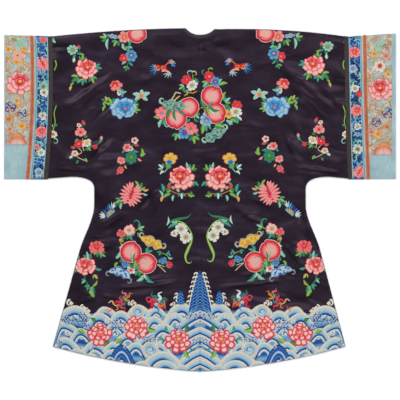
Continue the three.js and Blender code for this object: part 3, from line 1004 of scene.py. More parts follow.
def rosette(work, u, v, r, lobes, line, fill, rim=None, lift=0.5, squeeze=0.9, turn=0, seed=1, shaded=0.0,
            uneven=0.12, dome=0.3, facing=90):
    # Broad petals side by side with a fine line between. fill runs from the heart to the rims; shaded is
    # how much the petals that face one way take on the line's silk.
    dice = random.Random(seed)
    spans = [1 + dice.uniform(-uneven, uneven) * 1.6 for _ in range(lobes)]
    starts = np.concatenate([[0], np.cumsum(spans)]) / sum(spans)
    lengths = [1 + dice.uniform(-uneven, uneven) for _ in range(lobes)]
    angles, reach = [], []
    across = ((0.0, 0.74), (0.09, 0.87), (0.28, 0.99), (0.5, 0.97), (0.72, 0.99), (0.91, 0.87))
    for k in range(lobes):
        for s, end in across:
            angles.append(2 * math.pi * (starts[k] + s * (starts[k + 1] - starts[k])) + math.radians(turn))
            reach.append(end * (lengths[k] if s else min(lengths[k], lengths[k - 1])))
    angles, reach = np.array(angles), np.array(reach) * r * drawing["step"]
    between = np.tile([s == 0 for s, _ in across], lobes)
    flat = np.stack([np.cos(angles), np.sin(angles) * squeeze], 1)
    shares = (0, 0.3, 0.55, 0.78, 0.93, 1)
    turned = shaded * np.clip(0.5 + 0.5 * np.cos(angles - math.radians(facing)), 0, 1)[:, None]
    lineSilk = silks[line]
    heights, colours = [], []
    for share in shares:
        high = lift + dome * (1 - share**2) - 0.14 * between * (share > 0.2)
        heights.append(np.full(len(angles), sunk) if share == 1 else high)
        colour = shade(fill, np.full(len(angles), min(1, share / 0.9)))
        if rim and share > 0.9:
            colour = np.repeat([silks[rim]], len(angles), axis=0)
        colour = colour * (1 - turned) + lineSilk * turned
        colour[between] = lineSilk
        colours.append(colour)
    rings(work, toPlan(work, (u, v))[0], reach, flat, shares, heights, colours)


def petalShape(t):
    return np.maximum(np.sin(np.pi * t**1.4), 0) ** 0.6


def leafShape(t):
    return np.maximum(np.sin(np.pi * t**0.85), 0) ** 0.9


def lobedShape(t):  # a leaf with a scalloped edge
    return np.maximum(np.sin(np.pi * t**0.8), 0) ** 0.7 * (0.78 + 0.3 * np.abs(np.sin(3 * np.pi * t)))


def tailShape(t):  # full at its start, to a point
    return np.minimum(1, 6 * t + 0.3) * (1 - t) ** 0.6


def even(t):
    return np.minimum(1, np.minimum(t, 1 - t) * 14 + 0.35)


def sized(shape, width):
    return lambda t: width * shape(t)


def towards(u, v, angle, ahead, aside=0.0):  # angle 0 is outwards, 90 is up to the neck
    a = math.radians(angle)
    return (u + ahead * math.cos(a) - aside * math.sin(a), v - ahead * math.sin(a) - aside * math.cos(a))


def petals(work, u, v, count, inner, outer, width, across, turn=90, spread=360, lift=0.5, bend=0.0, steps=5,
           shape=petalShape):
    for k in range(count):
        angle = turn + spread * k / count
        path = [towards(u, v, angle, inner), towards(u, v, angle, (inner + outer) / 2, bend),
                towards(u, v, angle, outer)]
        band(work, path, sized(shape, width), across, lift, 0.2, steps)


def edged(edge, middle, tip=None):  # silks across a petal with an outline
    inner = (*([middle] if isinstance(middle, str) else middle), tip or edge)
    return bothWays((0.45, inner), (0.68, edge), (1, edge))


def cupPetal(work, base, tip, wide, fill, rim, lift, edgeAt=0.8):
    # One broad petal from its base to its tip: fill runs along it, inside a rim
    base, tip = toPlan(work, [base, tip])
    way = (tip - base) / 2
    side = np.array([-way[1], way[0]]) * (wide * drawing["step"] / max(math.hypot(*way), 1e-6))
    angles = np.linspace(0, 2 * math.pi, 14, endpoint=False)
    ahead = np.cos(angles)
    ahead[0] *= 0.88
    offsets = way * ahead[:, None] + side * (np.sin(angles) * (0.86 + 0.26 * np.cos(angles)))[:, None]
    reach = np.hypot(offsets[:, 0], offsets[:, 1])
    shares = (0, 0.45, edgeAt - 0.04, edgeAt, 0.97, 1)
    heights = [np.full(14, sunk if share == 1 else lift + 0.1 * (1 - share**2)) for share in shares]
    inner = [shade(fill, 0.5 + 0.5 * share * ahead) for share in shares if share < edgeAt]
    colours = inner + [shade(rim, 0.5 + 0.5 * ahead)] * (len(shares) - len(inner))
    rings(work, (base + tip) / 2, reach, offsets / reach[:, None], shares, heights, colours)


def peony(work, u, v, r, tones=("red", "pink", "shell"), centre="yellow", turn=0, lift=0.5, heart=(0, 0),
          outlined=False, squeeze=0.88):
    edge, middle, pale = tones
    loose = 11 if outlined else 6  # how far a petal may be turned, in degrees
    dice = random.Random(round(7 * u + 13 * v))
    hu, hv = u + heart[0], v + heart[1]
    disc(work, hu, hv, 0.62 * r, [(0, edge), (0.5, edge), (1, edge)], lift - 0.05, 0.05, 12, squeeze)
    fills = ((edge, middle, pale, middle), (edge, middle, pale, middle), (edge, edge, middle))
    if outlined:
        fills = ((middle, pale, pale), (middle, pale, pale), (edge, middle, pale))
    # how many petals, where they start and end, how wide and how high
    rows = ((9, 0.44, 1.0, 0.33, 0.0), (7, 0.24, 0.7, 0.28, 0.16), (5, 0.04, 0.4, 0.2, 0.32))
    for (count, near, far, wide, high), fill in zip(rows, fills):
        for k in range(count):
            angle = math.radians(turn + 360 * (k + 0.5 * (count == 7)) / count + dice.uniform(-loose, loose))
            way = (math.cos(angle), -math.sin(angle) * squeeze)
            end = far * r * dice.uniform(0.98 - 0.01 * loose, 1 + 0.01 * loose)
            share = 0.75 if far < 1 else 0
            upper = way[1] < -0.2 and not outlined
            rim = edge if outlined or upper else (edge, edge, edge, middle)
            silk = (edge, edge, middle, middle) if upper and far < 1 else fill
            base = (hu + near * r * way[0], hv + near * r * way[1])
            tip = (u + share * heart[0] + end * way[0], v + share * heart[1] + end * way[1])
            cupPetal(work, base, tip, wide * r * dice.uniform(0.9, 1.1), silk, rim, lift + high + 0.012 * k,
                     0.6 if outlined else 0.83)
    knots = [(0, centre), (0.6, centre), (0.8, edge), (1, edge)]
    disc(work, hu, hv, 0.19 * r, knots, lift + 0.52, 0.2, 10, 0.8)
    for k in range(5):
        knot(work, *towards(hu, hv, turn + 72 * k, 0.12 * r), lift + 0.66, centre, 0.75)


def blossom(work, u, v, r, tones=("rose", "pink"), centre="gold", count=5, turn=90, lift=0.5):
    edge, middle = tones
    seed = round(7 * u + 13 * v)
    rosette(work, u, v, r, count, edge, (edge, edge, middle, middle), None, lift, 0.94, turn, seed, 0.3, 0.16,
            0.1, turn)
    if r > 4:
        rosette(work, u, v, 0.56 * r, count, edge, (edge, edge, middle), middle, lift + 0.2, 0.94, turn + 30,
                seed + 1, 0.3, dome=0.1)
    disc(work, u, v, 0.24 * r, [(0, centre), (0.7, centre), (1, centre)], lift + 0.36, count=8)
    knot(work, u, v, lift + 0.6, centre, 0.7)


def daisy(work, u, v, r, tones=("sage", "white"), centre="gold", lift=0.5, turn=0):
    edge, middle = tones
    seed = round(5 * u + 11 * v)
    rosette(work, u, v, r, 8, edge, (edge, edge, middle, middle), None, lift, 0.95, turn, seed, 0.1,
            dome=0.1)
    rosette(work, u, v, 0.6 * r, 6, edge, (centre, edge, edge, middle), middle, lift + 0.2, 0.95, turn + 25,
            seed + 1, dome=0.1)
    disc(work, u, v, 0.3 * r, [(0, centre), (0.7, centre), (1, centre)], lift + 0.36, count=8)


def chrysanthemum(work, u, v, r, turn=110, lift=0.5):
    # Two fans of narrow petals on either side of a red heart that runs along turn
    across = bothWays((0.3, ("red", "pink", "shell", "shell")), (0.62, ("red", "rose", "pink", "pink")),
                      (1, "rose"))
    for layer, (count, far, high) in enumerate(((9, 1.0, 0), (8, 0.72, 0.14), (6, 0.45, 0.28))):
        for side in (1, -1):
            for k in range(count):
                share = (k + 0.5 * (layer % 2)) / (count - 0.5)
                angle = turn + side * (24 + 134 * share)
                start = towards(u, v, turn, (0.42 - 0.8 * share) * r)
                length = far * r * (0.84 + 0.16 * math.sin(math.pi * share) + 0.05 * (k % 2))
                length -= 0.3 * r * abs(0.5 - share)
                bow = towards(*start, angle, 0.5 * length, 0.05 * r * side)
                path = [start, bow, towards(*start, angle, length)]
                band(work, path, sized(petalShape, 0.14 * r), across, lift + high, 0.15, 5)
    for k, ahead in enumerate((-0.58, -0.3, -0.02, 0.26, 0.52)):
        spot = towards(u, v, turn, ahead * r, (0.07 if k % 2 else -0.07) * r)
        disc(work, *spot, 0.17 * r, [(0, "red"), (0.6, "red"), (1, "rose")], lift + 0.4, 0.15, 8, 0.8, 30 * k)


def leaf(work, u, v, angle, length, tone="lime", width=0.3, bend=0.12, lift=0.42):
    one, other, rib = leafTones.get(tone, (tone, tone, tone))
    path = [(u, v), towards(u, v, angle, length * 0.5, bend * length), towards(u, v, angle, length)]
    across = [(-1, one), (-0.55, one), (-0.12, other), (0, rib), (0.12, other), (0.55, other), (1, one)]
    shape, steps = (lobedShape, 12) if width >= 0.28 and length > 4.5 else (leafShape, 8)
    band(work, path, sized(shape, width * length), across, lift, 0.2, steps)


leafTones = {
    "lime": ("green", "lime", "paleLime"), "green": ("jade", "green", "lime"),
    "teal": ("teal", "jade", "mint"), "pale": ("jade", "mint", "ice"), "dark": ("green", "teal", "lime"),
    "gold": ("gold", "sand", "orange"),
    "blue": ("blue", "sky", "deep"), "white": ("jade", "white", "mint"), "pink": ("pink", "shell", "rose"),
    "red": ("red", "rose", "pink"), "olive": ("olive", "sage", "green"), "jade": ("teal", "jade", "mint"),
}


def sprig(work, u, v, angle, length, tones=("lime", "teal", "pale"), spread=48, lift=0.42):
    # Leaves fanned out from one spot, the middle one longest
    for k, tone in enumerate(tones):
        turned = (0, 1, -1, 2, -2)[k]
        leaf(work, u, v, angle + spread * turned, length * (1 - 0.16 * abs(turned)), tone, 0.3, 0.1 * turned,
             lift - 0.03 * abs(turned))


def bud(work, u, v, r, tone="red", angle=90):
    leaf(work, *towards(u, v, angle, -1.3 * r), angle + 30, 1.5 * r, "green", 0.25)
    leaf(work, *towards(u, v, angle, -1.3 * r), angle - 30, 1.5 * r, "teal", 0.25)
    leaf(work, *towards(u, v, angle, -r), angle, 2.2 * r, tone, 0.42, 0, 0.55)


def stem(work, points, tone="jade", width=0.4, lift=0.35):
    band(work, points, sized(even, width), bothWays((0, tone), (1, tone)), lift, 0.15, 3 * len(points) + 2)


def curl(work, u, v, r, angle, turns=1.1, width=0.5, tone="cream", handed=1, lift=0.5, steps=10):
    # A tail that starts at its thick outer end and winds inwards
    path = []
    for k in range(9):
        share = k / 8
        path.append(towards(u, v, angle + handed * 360 * turns * share, r * (1 - 0.72 * share)))
    edge, inner = (tone, tone) if isinstance(tone, str) else tone
    band(work, path, sized(tailShape, width), bothWays((0.5, inner), (1, edge)), lift, 0.2, steps)


def peach(work, u, v, r, tip, lift=0.55):
    turn = math.radians(tip)

    def outline(grow):
        def reach(a):
            away = (a - turn + math.pi) % (2 * math.pi) - math.pi
            point = 0.1 * np.exp(-((away / 0.15) ** 2))
            notch = -0.08 * np.exp(-(((away - 0.32) / 0.12) ** 2))
            stalk = -0.07 * np.exp(-(((abs(away) - math.pi) / 0.3) ** 2))
            return grow * r * (1 + point + notch + stalk)
        return reach

    rim = [(share, "cream") for share in (0, 0.3, 0.6, 0.85, 0.95, 1)]
    disc(work, u, v, outline(1.035), rim, lift - 0.15, 0, 40)
    bands = [(0, "blush"), (0.22, "blush"), (0.36, "shell"), (0.5, "shell"), (0.64, "pink"), (0.77, "rose"),
             (0.87, "red"), (0.97, "red"), (1, "red")]
    disc(work, u, v, outline(0.99), bands, lift, 0.4, 40)
    # the cleft, a dark line with a blush beside it
    cleft = ((17, 0.96), (15, 0.7), (34, 0.5), (66, 0.52), (84, 0.64))
    path = [towards(u, v, tip + angle, share * r) for angle, share in cleft]
    across = [(-1, "red"), (-0.2, "red"), (0.3, ("red", "red", "rose", "rose")), (1, "rose")]
    band(work, path, sized(tailShape, 0.12 * r), across, lift + 0.3, 0.1, 12)


def bat(work, u, v, angle, length, tones=("teal", "sage", "mint"), lift=0.5, handed=1, arch=0.06):
    # A scalloped, cloud-like bat: mottled wings with a pale rim, and a curl at each end
    mottle, middle, rim = tones

    def place(ahead, aside):
        return towards(u, v, angle, ahead * length, aside * length * handed)

    def wings(t):
        scallops = 0.135 + 0.09 * np.abs(np.sin(2.5 * np.pi * t))
        return length * scallops * np.minimum(1, 5 * t * (1 - t) + 0.12)

    path = [place(-0.44, 0.0), place(-0.24, arch), place(0, 1.4 * arch), place(0.24, arch), place(0.44, 0.0)]
    across = bothWays((0, middle), (0.58, middle), (0.64, mottle), (0.74, mottle), (0.8, rim), (1, rim))
    band(work, path, wings, across, lift, 0.25, 30)
    mottles = (  # place ahead and aside, radius, starting angle
        (-0.3, 0.04, 0.06, 80), (-0.2, -0.05, 0.05, 200), (-0.08, 0.05, 0.06, 20), (0.03, -0.06, 0.06, 120),
        (0.14, 0.05, 0.055, 300), (0.24, -0.04, 0.05, 60), (0.32, 0.04, 0.045, 180), (-0.12, -0.08, 0.04, 0),
    )
    for k, (ahead, aside, r, start) in enumerate(mottles):
        curl(work, *place(ahead, aside + arch), r * length, start, 0.8, 0.064 * length, (mottle, mottle),
             1 if k % 2 else -1, lift + 0.24, steps=7)
    for way in (1, -1):
        curl(work, *place(0.43 * way, 0.11), 0.12 * length, angle - 90 * handed, 0.8, 0.052 * length,
             rim, way * handed, lift + 0.05)


def butterflyFlower(work, u, v, r, lift=0.5):
    wings = [(-1, "jade"), (-0.7, "mint"), (0, "mint"), (0.7, "ice"), (1, "ice")]
    for angle, reach, width in ((8, 0.95, 0.26), (165, 0.95, 0.26), (-38, 0.9, 0.24), (222, 0.9, 0.24),
                                (95, 0.6, 0.24)):
        petals(work, u, v, 1, 0.1 * r, reach * r, width * r, wings, angle, lift=lift, steps=8,
               shape=lobedShape)
    rosette(work, u, v + 0.1 * r, 0.34 * r, 5, "gold", ("gold", "orange", "sand"), None, lift + 0.2)


def featherMoth(work, u, v, r, lift=0.5):
    # Feathery petals on either side of a slanting body
    axis = 140
    feathers = (  # place along the body, angle, length, silk
        (-0.52, 42, 0.5, "ice"), (-0.56, 16, 0.52, "white"), (-0.58, -10, 0.5, "ice"),
        (-0.58, -36, 0.46, "white"), (-0.5, -64, 0.36, "ice"), (-0.3, 52, 0.52, "blue"),
        (-0.1, 58, 0.55, "deep"), (0.1, 62, 0.55, "blue"), (0.3, 66, 0.6, "sky"),
        (0.45, 82, 0.62, "ice"), (0.52, 102, 0.6, "white"), (0.5, 124, 0.45, "ice"),
    )
    for along, angle, length, tone in feathers:
        across = edged("paleBlue" if tone in ("ice", "white") else tone, (tone, tone), tone)
        petals(work, *towards(u, v, axis, along * r), 1, 0, 1.15 * length * r, 0.1 * r, across, angle,
               lift=lift, shape=leafShape)
    for aside in (0.16, 0.3):
        ends = [towards(u, v, axis, ahead * r, aside * r) for ahead in (-0.5, 0.55)]
        stem(work, ends, "mint", 0.07 * r, lift)
    body = [towards(u, v, axis, 0.4 * r), (u, v), towards(u, v, axis, -0.45 * r)]
    band(work, body, sized(leafShape, 0.13 * r), bothWays((0, "peach"), (1, "orange")), lift + 0.25, 0.2, 6)


def phoenix(work, u, v, lift=0.5):
    # A small bird-like figure; u, v is between its two round body marks
    for k in range(8):
        angle = 62 - 21 * k
        tone = ("mint", "ice", "sky", "blue", "sky", "blue", "sky", "deep")[k]
        length = (5, 6.4, 8, 8.8, 8.2, 9, 8, 6.4)[k]
        petals(work, u + 3.6, v + 0.6, 1, 0.6, length, 0.75, bothWays((0.5, tone), (1, "blue")), angle,
               lift=lift, shape=tailShape)
    for du, r in ((2.8, 3.9), (-2.9, 3.6)):
        disc(work, u + du, v, r, [(0, "red"), (0.7, "red"), (1, "red")], lift + 0.1, count=14, squeeze=0.85)
        curl(work, u + du, v + 0.2, 0.62 * r, 200, 1.1, 0.75, ("gold", "yellow"), 1, lift + 0.3)
    stem(work, [(u - 4.6, v - 2), (u - 7.2, v - 4.6), (u - 10.2, v - 5.2)], "orange", 0.9, lift)
    stem(work, [(u - 5.2, v - 3.2), (u - 7.6, v - 5.9), (u - 10, v - 6.4)], "deep", 0.4, lift + 0.05)
    rosette(work, u - 11.2, v - 5.6, 2.5, 5, "orange", ("orange", "peach", "peach"), None, lift + 0.2)
    for angle, length in ((35, 4.6), (78, 3.8), (-165, 4.4), (-125, 5.4), (165, 3.4), (-95, 4)):
        petals(work, u - 11.4, v - 5.2, 1, 1.2, length, 0.95, edged("blue", ("blue", "sky")), angle,
               lift=lift + 0.1, steps=4)
    stem(work, [(u - 1, v + 3.4), (u - 5, v + 3), (u - 9.8, v + 5.2)], "shell", 1.1, lift)
    stem(work, [(u - 1.4, v + 2.4), (u - 5.2, v + 1.9), (u - 9.4, v + 3.6)], "rose", 0.5, lift + 0.1)
    for angle, length in ((-15, 6), (-45, 6.4), (-80, 5.4), (-120, 5), (-160, 3.6)):
        across = [(-1, "sky"), (-0.4, "ice"), (0.4, "mint"), (1, "sky")]
        petals(work, u - 8.2, v + 5.2, 1, 0.4, length, 0.95, across, angle, lift=lift, shape=tailShape)


def ribbonKnot(work, u, v, r, tones, turn=0, lift=0.5):
    # An auspicious thing tied with ribbons that wave about
    for k, tone in enumerate(tones):
        angle = turn + 360 * k / len(tones)
        path = [towards(u, v, angle, 0.15 * r), towards(u, v, angle, 0.42 * r, 0.2 * r),
                towards(u, v, angle, 0.68 * r, -0.16 * r), towards(u, v, angle, r, 0.12 * r)]
        edge = {"rose": "red", "pink": "rose", "white": "ice", "orange": "rust"}.get(tone, tone)
        across = bothWays((0.3, tone), (1, edge))
        band(work, path, sized(tailShape, 0.19 * r), across, lift + 0.05 * k, 0.2, 9)
    for k in range(3):
        cu, cv = towards(u, v, turn + 40 + 120 * k, 0.22 * r)
        bands = [(0, tones[(k + 1) % len(tones)]), (0.6, tones[k % len(tones)]), (1, "deep")]
        disc(work, cu, cv, 0.2 * r, bands, lift + 0.35, count=8)


def stitchRows(work, rows, shift=(0, 0)):
    work["shift"] = shift
    for kind, *values in rows:
        kind(work, *values)
    work["shift"] = (0, 0)


# what is embroidered where: squares out, squares down, then sizes in squares and angles
shoulderSpray = [
    (sprig, 94, 38, 10, 6.5, ("lime", "pale", "green")), (leaf, 91.5, 38, 272, 12, "pale", 0.16),
    (sprig, 83, 41, 300, 6.5, ("lime", "teal", "green")), (stem, [(82, 41), (77, 44), (72, 49)], "teal"),
    (leaf, 77, 43.5, 250, 7, "pale", 0.28), (sprig, 72, 46.5, 250, 6, ("teal", "lime", "pale")),
    (bat, 87, 37.2, 10, 11, ("ice", "slate", "paleBlue")), (leaf, 68.5, 39, 280, 8, "teal", 0.24),
    (blossom, 75.5, 37.6, 6.6, ("red", "shell"), "yellow", 6, 100), (peach, 63, 33.6, 9.4, 205),
]
twinFlower = [
    (stem, [(71, 58), (72, 64), (74, 69)], "jade", 0.5),
    (sprig, 73, 66.5, 285, 5, ("green", "lime", "jade")), (leaf, 70, 62, 230, 5, "teal"),
    (leaf, 73.5, 62, 330, 5, "pale"), (blossom, 76, 58.4, 4.6, ("red", "rose"), "yellow"),
    (daisy, 68.6, 55.4, 6.6, ("deep", "sky"), "peach"),
]
bellFlower = [
    (leaf, 80, 88, 215, 8, "teal", 0.24), (leaf, 79, 91, 185, 6, "pale"),
    (leaf, 82, 92, 240, 4.5, "white"), (blossom, 80.4, 92, 3, ("sage", "cream"), "olive"),
    (rosette, 84.2, 85.4, 6.6, 6, "rose", ("rose", "shell", "pink"), None, 0.5, 0.85, 30, 5, 0.2),
    (rosette, 84.6, 84.8, 4.2, 5, "red", ("orange", "red", "rose"), None, 0.66, 0.85, 10, 6),
    (disc, 84.8, 86, 1.5, [(0, "yellow"), (0.7, "yellow"), (1, "gold")], 0.9),
]
bluePeony = [
    (sprig, 88, 104, 60, 8, ("lime", "green", "lime")), (sprig, 93, 101, 20, 6, ("green", "gold", "lime")),
    (sprig, 66, 104, 130, 6, ("teal", "lime", "green")), (sprig, 65, 109, 190, 6, ("lime", "lime", "green")),
    (leaf, 94, 106, 300, 6, "lime"), (leaf, 96, 102, 250, 5, "olive"), (leaf, 78, 97, 80, 6, "blue", 0.3),
    (peony, 77, 107.5, 13.6, ("blue", "sky", "ice"), "orange", 10, 0.5, (-2.6, 1.2), False, 0.76),
]
sleeveSpray = [
    (sprig, 104, 67, 195, 6.5, ("teal", "jade", "teal")),
    (sprig, 122, 77, 320, 8, ("green", "lime", "teal")),
    (sprig, 108, 77, 250, 7, ("lime", "green", "teal")),
    (sprig, 117, 79, 270, 6.5, ("teal", "lime", "jade")), (leaf, 126, 83, 310, 5, "lime"),
    (leaf, 128, 86, 290, 5, "gold"), (sprig, 117.5, 60, 95, 6, ("lime", "green", "teal")),
    (bud, 126, 60, 2.2, "white", 100), (stem, [(121, 48), (119, 54), (116, 60)], "green", 0.45),
    (leaf, 119.5, 53, 200, 4.5, "lime"), (leaf, 119, 55, 20, 4.5, "teal"), (bud, 121, 47, 1.9, "red", 80),
    (daisy, 127.2, 50, 5.6, ("jade", "mint"), "orange"), (leaf, 124, 55, 300, 5, "teal"),
    (peony, 113.7, 69.2, 11.4, ("red", "pink", "petal"), "yellow", 0, 0.5, (-1.5, -2)),
]
braidSide = [
    (leaf, 148, 37, 235, 7, "pale", 0.34), (stem, [(144.5, 60), (143.4, 65), (145.4, 70.5)], "lime", 0.9),
    (stem, [(143.2, 105), (145.6, 113), (144.6, 122), (147, 131)], "lime", 0.75),
    (leaf, 146, 126, 150, 4.5, "green"), (leaf, 147.5, 127, 60, 4.5, "white"),
    (daisy, 146.6, 134.2, 4.2, ("rust", "white"), "orange"),
    (curl, 144.6, 141.4, 3.4, 60, 0.9, 0.9, ("jade", "mint")), (leaf, 150, 140, 265, 9, "pale", 0.26),
]
plumSprig = [
    (stem, [(116, 150.5), (110, 146), (103, 144.5), (97, 140.5)], "jade", 0.6),
    (stem, [(121, 148), (118, 152), (123, 156), (116, 160), (112, 161)], "sand", 0.6),
    (stem, [(117, 138), (117.5, 144), (116, 151)], "sand", 0.6),
    (sprig, 112, 147, 230, 5, ("lime", "green", "teal")), (leaf, 121, 139, 330, 4.5, "teal"),
    (leaf, 116, 137, 160, 4.5, "green"), (bud, 116.5, 122.5, 2.2, "red", 70),
    (blossom, 121, 125, 2.6, ("pink", "white")), (stem, [(117, 125), (118, 129)], "jade", 0.4),
    (blossom, 105, 146.8, 2.6, ("red", "rose")), (bud, 98.5, 138, 2, "pink", 100),
    (leaf, 101, 142, 130, 4.5, "teal"), (blossom, 125, 153.2, 3.6, ("orange", "white")),
    (bud, 128.5, 157, 2, "white", 330), (bud, 127, 147.5, 2, "red", 20),
    (sprig, 114, 158, 250, 4.5, ("lime", "teal")), (leaf, 121, 160, 300, 4.5, "green"),
    (blossom, 113, 143, 5, ("gold", "white"), "yellow"),
    (blossom, 121, 143.8, 4.6, ("red", "rose"), "yellow"),
    (blossom, 119, 132.2, 5.4, ("rose", "shell"), "red"),
]
podSpray = [
    (stem, [(66, 143), (69, 149), (66, 156), (60, 160)], "jade", 0.45),
    (leaf, 59, 157, 95, 9, "lime", 0.26), (leaf, 60, 155, 160, 6, "lime", 0.3),
    (leaf, 62, 158, 215, 5, "pink", 0.26), (stem, [(70, 153), (74, 158), (78.5, 162)], "shell", 0.45),
    (blossom, 78.6, 160.4, 4.2, ("rose", "shell"), "pink"),
    (stem, [(77, 160), (80, 166), (79, 169)], "jade", 0.4),
    (blossom, 79.2, 169.6, 3.8, ("red", "pink"), "shell"), (bud, 82, 173, 1.8, "red", 330),
    (bud, 63.2, 144.8, 2, "red", 200), (blossom, 65.6, 140.2, 3.8, ("rose", "white"), "red"),
    (leaf, 75, 165, 240, 4, "gold"), (blossom, 72.8, 147.4, 4.6, ("red", "shell"), "rose"),
    (blossom, 69.5, 148.4, 3, ("rose", "white")), (leaf, 74, 150, 320, 5, "teal"),
    (leaf, 66, 150, 200, 5, "jade"),
    (rosette, 68.6, 157, 6.8, 7, "teal", ("lime", "green", "jade"), "teal", 0.55, 1.05, 0, 9, 0.2),
    (disc, 68.4, 157, 3, [(0, "lime"), (0.6, "green"), (1, "green")], 0.85, 0.3, 12, 1.5, 20),
]
innerPeony = [
    (stem, [(31, 166), (36, 172), (40, 168)], "mint", 0.7),
    (rosette, 31.8, 166.4, 3.2, 5, "green", ("lime", "lime", "green"), "jade", 0.5),
    (sprig, 37, 168, 40, 6, ("white", "teal", "pale")), (leaf, 36, 171, 320, 5, "white"),
    (sprig, 12.5, 168, 80, 6, ("pale", "teal")), (sprig, 8, 170, 110, 6.5, ("lime", "green", "teal")),
    (sprig, 5.6, 181, 230, 6.5, ("teal", "jade")), (leaf, 28, 183, 330, 5, "teal"),
    (stem, [(33, 188), (28, 191), (20, 194), (10, 193)], "orange", 0.55),
    (leaf, 36.5, 192, 75, 9, "teal", 0.26), (leaf, 37, 197, 60, 8, "pale", 0.2),
    (sprig, 33, 192, 150, 5, ("lime", "teal", "green")), (leaf, 30, 194, 330, 7, "lime"),
    (leaf, 26, 195, 280, 6, "pale"), (sprig, 18, 193, 270, 6, ("white", "jade", "teal")),
    (leaf, 12, 194, 190, 7, "lime"), (leaf, 9, 191, 250, 6, "green"), (leaf, 36.5, 196, 290, 6, "gold"),
    (stem, [(31, 190), (31, 186)], "teal"), (bud, 31, 186, 2.2, "rose", 80),
    (bud, 27, 187.5, 1.9, "pink", 60), (bud, 22, 190, 1.8, "shell", 80), (leaf, 24, 189, 200, 5, "teal"),
    (leaf, 15, 190, 30, 5, "teal"),
    (rosette, 30.2, 158.4, 7.6, 6, "gold", ("orange", "yellow", "yellow"), "orange", 0.5, 0.85, 20, 5,
     0.1),
    (rosette, 30.6, 162, 3.6, 5, "blue", ("deep", "blue", "sky"), None, 0.72, 0.8, 40, 6),
    (peony, 17.2, 178.2, 13.4, ("red", "pink", "petal"), "yellow", 15, 0.5, (2.8, -2.2)),
]
chrysanthemumSpray = [
    (sprig, 60, 189, 110, 7, ("green", "lime", "lime")), (leaf, 57, 190, 170, 6, "gold", 0.24),
    (leaf, 57, 193, 200, 5, "pale"), (leaf, 62, 186, 60, 6, "lime"),
    (sprig, 79, 200, 330, 7, ("lime", "jade", "teal")), (leaf, 78, 203, 280, 6, "pale"),
    (stem, [(76, 200), (84, 206), (88, 210)], "jade", 0.5), (chrysanthemum, 68.7, 194.3, 11.8, 112),
    (featherMoth, 90.8, 211.6, 10),
]
orchid = [
    (band, [(8.2, 212.6), (12.5, 217), (20, 218.4), (28, 220.6), (33, 225)], lambda t: 1.75 * np.sin(np.pi
     * np.clip(t, 0, 1) ** 1.2) ** 0.8, [(-1, "teal"), (-0.3, "green"), (0, "jade"), (0.3, "green"), (1,
     "teal")], 0.5, 0.25, 18),
    (leaf, 22, 223.4, 335, 11, "teal", 0.2, 0.1), (leaf, 33.4, 225.6, 100, 9.5, "white", 0.14),
    (band, [(25, 220.4), (16, 223), (9, 232), (8.2, 240), (12, 249), (14.6, 256), (13, 262), (9.4, 262.6),
     (8.4, 260.6)], lambda t: 0.75 + 1.1 * np.exp(-(((t - 0.68) / 0.16) ** 2)) - 0.5 * (t > 0.95), [(-1,
     "green"), (-0.5, "lime"), (0.1, "paleLime"), (0.5, "lime"), (1, "green")], 0.5, 0.25, 30),
    (leaf, 28, 221, 190, 6, "pale"), (leaf, 22, 222, 300, 5, "teal"),
    (daisy, 25.8, 233.2, 3.6, ("sage", "white"), "orange"),
    (daisy, 18.8, 228.4, 6.4, ("sage", "white"), "orange"),
    (daisy, 14, 236.8, 6.6, ("sage", "white"), "orange"),
]
